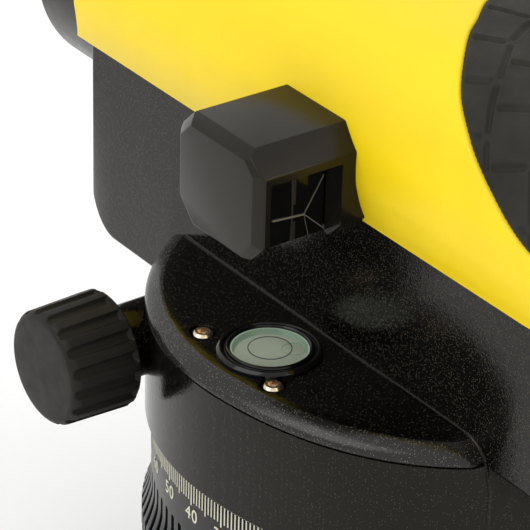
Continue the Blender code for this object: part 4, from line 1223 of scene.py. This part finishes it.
def build_base():
    plate = bevelled(prism("base_casting", three_arms(13.5 * MM, 36 * MM), 0, 5 * MM), 0.7 * MM, 3)
    boss = hub_profile((0.001, 2, 0), (15, 2, 0), (15, 9.9, 0.6), (0.001, 9.9, 0))
    plate = carve(plate, [lathe("boss", boss[::-1], (0, 0, 0), "Z", 64)], "UNION")
    bore = in_mm((0.001, 20), (8.6, 20), (8.6, 10), (7.6, 9), (7.6, -1), (0.001, -1))
    cuts = [lathe("bore", bore, (0, 0, 0), "Z", 64)] + foot_holes(5.2, 9, 1.9, 40)
    new_object("base_casting", carve(plate, cuts), PAINT, "base", ["base_plate"], 30)
    spring = bevelled(prism("spring_sheet", three_arms(8.5 * MM, 24 * MM), 5.4 * MM, 6.6 * MM), 0.2 * MM)
    cuts = [plug(15.4, 9, 3, core=0.001)] + foot_holes(3.2, 9, 3, 32)
    new_object("spring_sheet", carve(spring, cuts), STEEL, "base", ["spring_plate"], 30)
    arms = prism("tribrach_casting", three_arms(10.5 * MM, 32 * MM), 22 * MM, 31.2 * MM)
    arms = bevelled(arms, 0.9 * MM, 3)
    hub = hub_profile((0.001, 43, 0), (25.2, 43, 0.6), (25.2, 34.6, 0.3), (28.8, 34.6, 0.8), (28.8, 26, 0),
                      (0.001, 26, 0))
    arms = carve(arms, [lathe("hub", hub, (0, 0, 0), "Z", 72)], "UNION")
    cuts = [plug(10.3, 50, 20, segments=48, core=0.001)] + foot_holes(3.9, 40, 15, 32)
    new_object("tribrach_casting", carve(arms, cuts), PAINT, "base", ["tribrach"], 30)
    for index, at in enumerate(FOOT_SPOTS, start=1):
        build_foot_screw(index, at)


def build_foot_screw(index, at):
    low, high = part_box(f"foot_knob_{index}")
    z0, z1 = low.z, high.z
    rim = 12.4 * MM
    outline = rounded([(3.8 * MM, z1 - 0.4 * MM, 0), (rim - 3 * MM, z1 - 0.4 * MM, 0.5 * MM),
                       (rim - 2.4 * MM, z1, 0.5 * MM), (rim - 0.1 * MM, z1, 1.3 * MM),
                       (rim - 0.1 * MM, z1 - 2 * MM, 0)], 0.5 * MM, False, 4)
    outline += [(rim, z) for z in np.linspace(z1 - 2.2 * MM, z0 + 2 * MM, 6)]
    outline += [(rim - 0.4 * MM, z0 + 0.6 * MM), (rim - 1.2 * MM, z0), (3.8 * MM, z0)]

    def scallop(radius, height, angle):
        if radius < rim - 1.3 * MM:
            return radius
        phase = groove_phase(angle, 18)
        return radius - 0.7 * MM * max(1 - (phase / 0.6) ** 2, 0)

    body = f"foot_screw_{index}"
    turned(f"foot_grip_{index}", outline, at, "Z", 216, KNOB, body, [f"foot_knob_{index}"], 50,
           scallop, True)
    top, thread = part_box(f"foot_spindle_{index}")[1].z, 3.45 * MM
    profile = [(CORE, top), (2.9 * MM, top), (thread, top - 0.6 * MM)]
    z = top - 0.9 * MM
    while z > 21 * MM:
        profile += [(thread, z), (3.05 * MM, z - 0.35 * MM), (thread, z - 0.7 * MM)]
        z -= 0.75 * MM
    ball = [(4.6 * math.cos(t), 4.3 + 1.9 * math.sin(t)) for t in np.linspace(0.7, -1.2, 10)]
    profile += in_mm((3.45, 8.4), (2.7, 8), (2.7, 5.8), *ball, (0.001, 2.4))
    turned(f"foot_thread_{index}", profile, at, "Z", 48, STEEL, body, [f"foot_spindle_{index}"], 40)


for build in (build_cover, build_grip, build_sight, build_housing, build_drum, build_circle,
              build_drive_knobs, build_focus_knob, build_vial, build_hood, build_prism, build_objective,
              build_eyepiece, build_base):
    build()


# ------------------------------------------------------------------ stage, light and camera
def area_light(name, at, target, size, power):
    light = bpy.data.lights.new(name, "AREA")
    light.shape = "RECTANGLE"
    light.size, light.size_y = size
    light.energy = power
    made = linked(name, light)
    made.location = at
    made.rotation_euler = (Vector(target) - Vector(at)).to_track_quat("-Z", "Y").to_euler()


def build_stage():
    """Pale floor, white surroundings and two soft lights."""
    floor, tree, shader = material("pale_floor", (0.93, 0.93, 0.92), 0.6)
    tree.links.new(ramp(tree, noise(tree, 8, 3.0), [(0.3, (0.92, 0.92, 0.915)), (0.7, (0.94, 0.94, 0.935))]),
                   shader.inputs["Base Color"])
    mesh = block("floor", (-6, -6, -0.02), (6, 6, -0.0005))
    made = linked("floor", mesh)
    mesh.materials.append(floor)
    world = bpy.data.worlds.new("studio")
    bpy.context.scene.world = world
    world.use_nodes = True
    background = world.node_tree.nodes["Background"]
    background.inputs["Color"].default_value = (1.0, 1.0, 1.0, 1)
    background.inputs["Strength"].default_value = 1.0
    middle = (0, 0, 0.09)
    area_light("softbox_left", (-0.75, 0.15, 1.0), middle, (0.8, 0.8), 4)
    area_light("softbox_back", (0.5, -0.9, 1.1), middle, (0.9, 0.6), 2)


def build_camera():
    """Camera at the observer's left and above, rolled slightly. It sees only part of the instrument."""
    azimuth, elevation, roll = math.radians(-36.56), math.radians(29.02), math.radians(1.5)
    back = Vector((math.sin(azimuth) * math.cos(elevation), -math.cos(azimuth) * math.cos(elevation),
                   math.sin(elevation)))
    right = Vector((math.cos(azimuth), math.sin(azimuth), 0))
    up = back.cross(right)
    turned_right = math.cos(roll) * right + math.sin(roll) * up
    turned_up = -math.sin(roll) * right + math.cos(roll) * up
    camera = bpy.data.cameras.new("camera")
    camera.sensor_width = 36.0
    camera.lens = 210.54
    camera.clip_start = 0.01
    made = linked("camera", camera)
    rotation = Matrix((turned_right, turned_up, back)).transposed().to_4x4()
    made.matrix_world = Matrix.Translation((-0.3120, -0.3705, 0.3537)) @ rotation
    bpy.context.scene.camera = made


build_stage()
build_camera()
bpy.context.scene.view_settings.view_transform = "Standard"
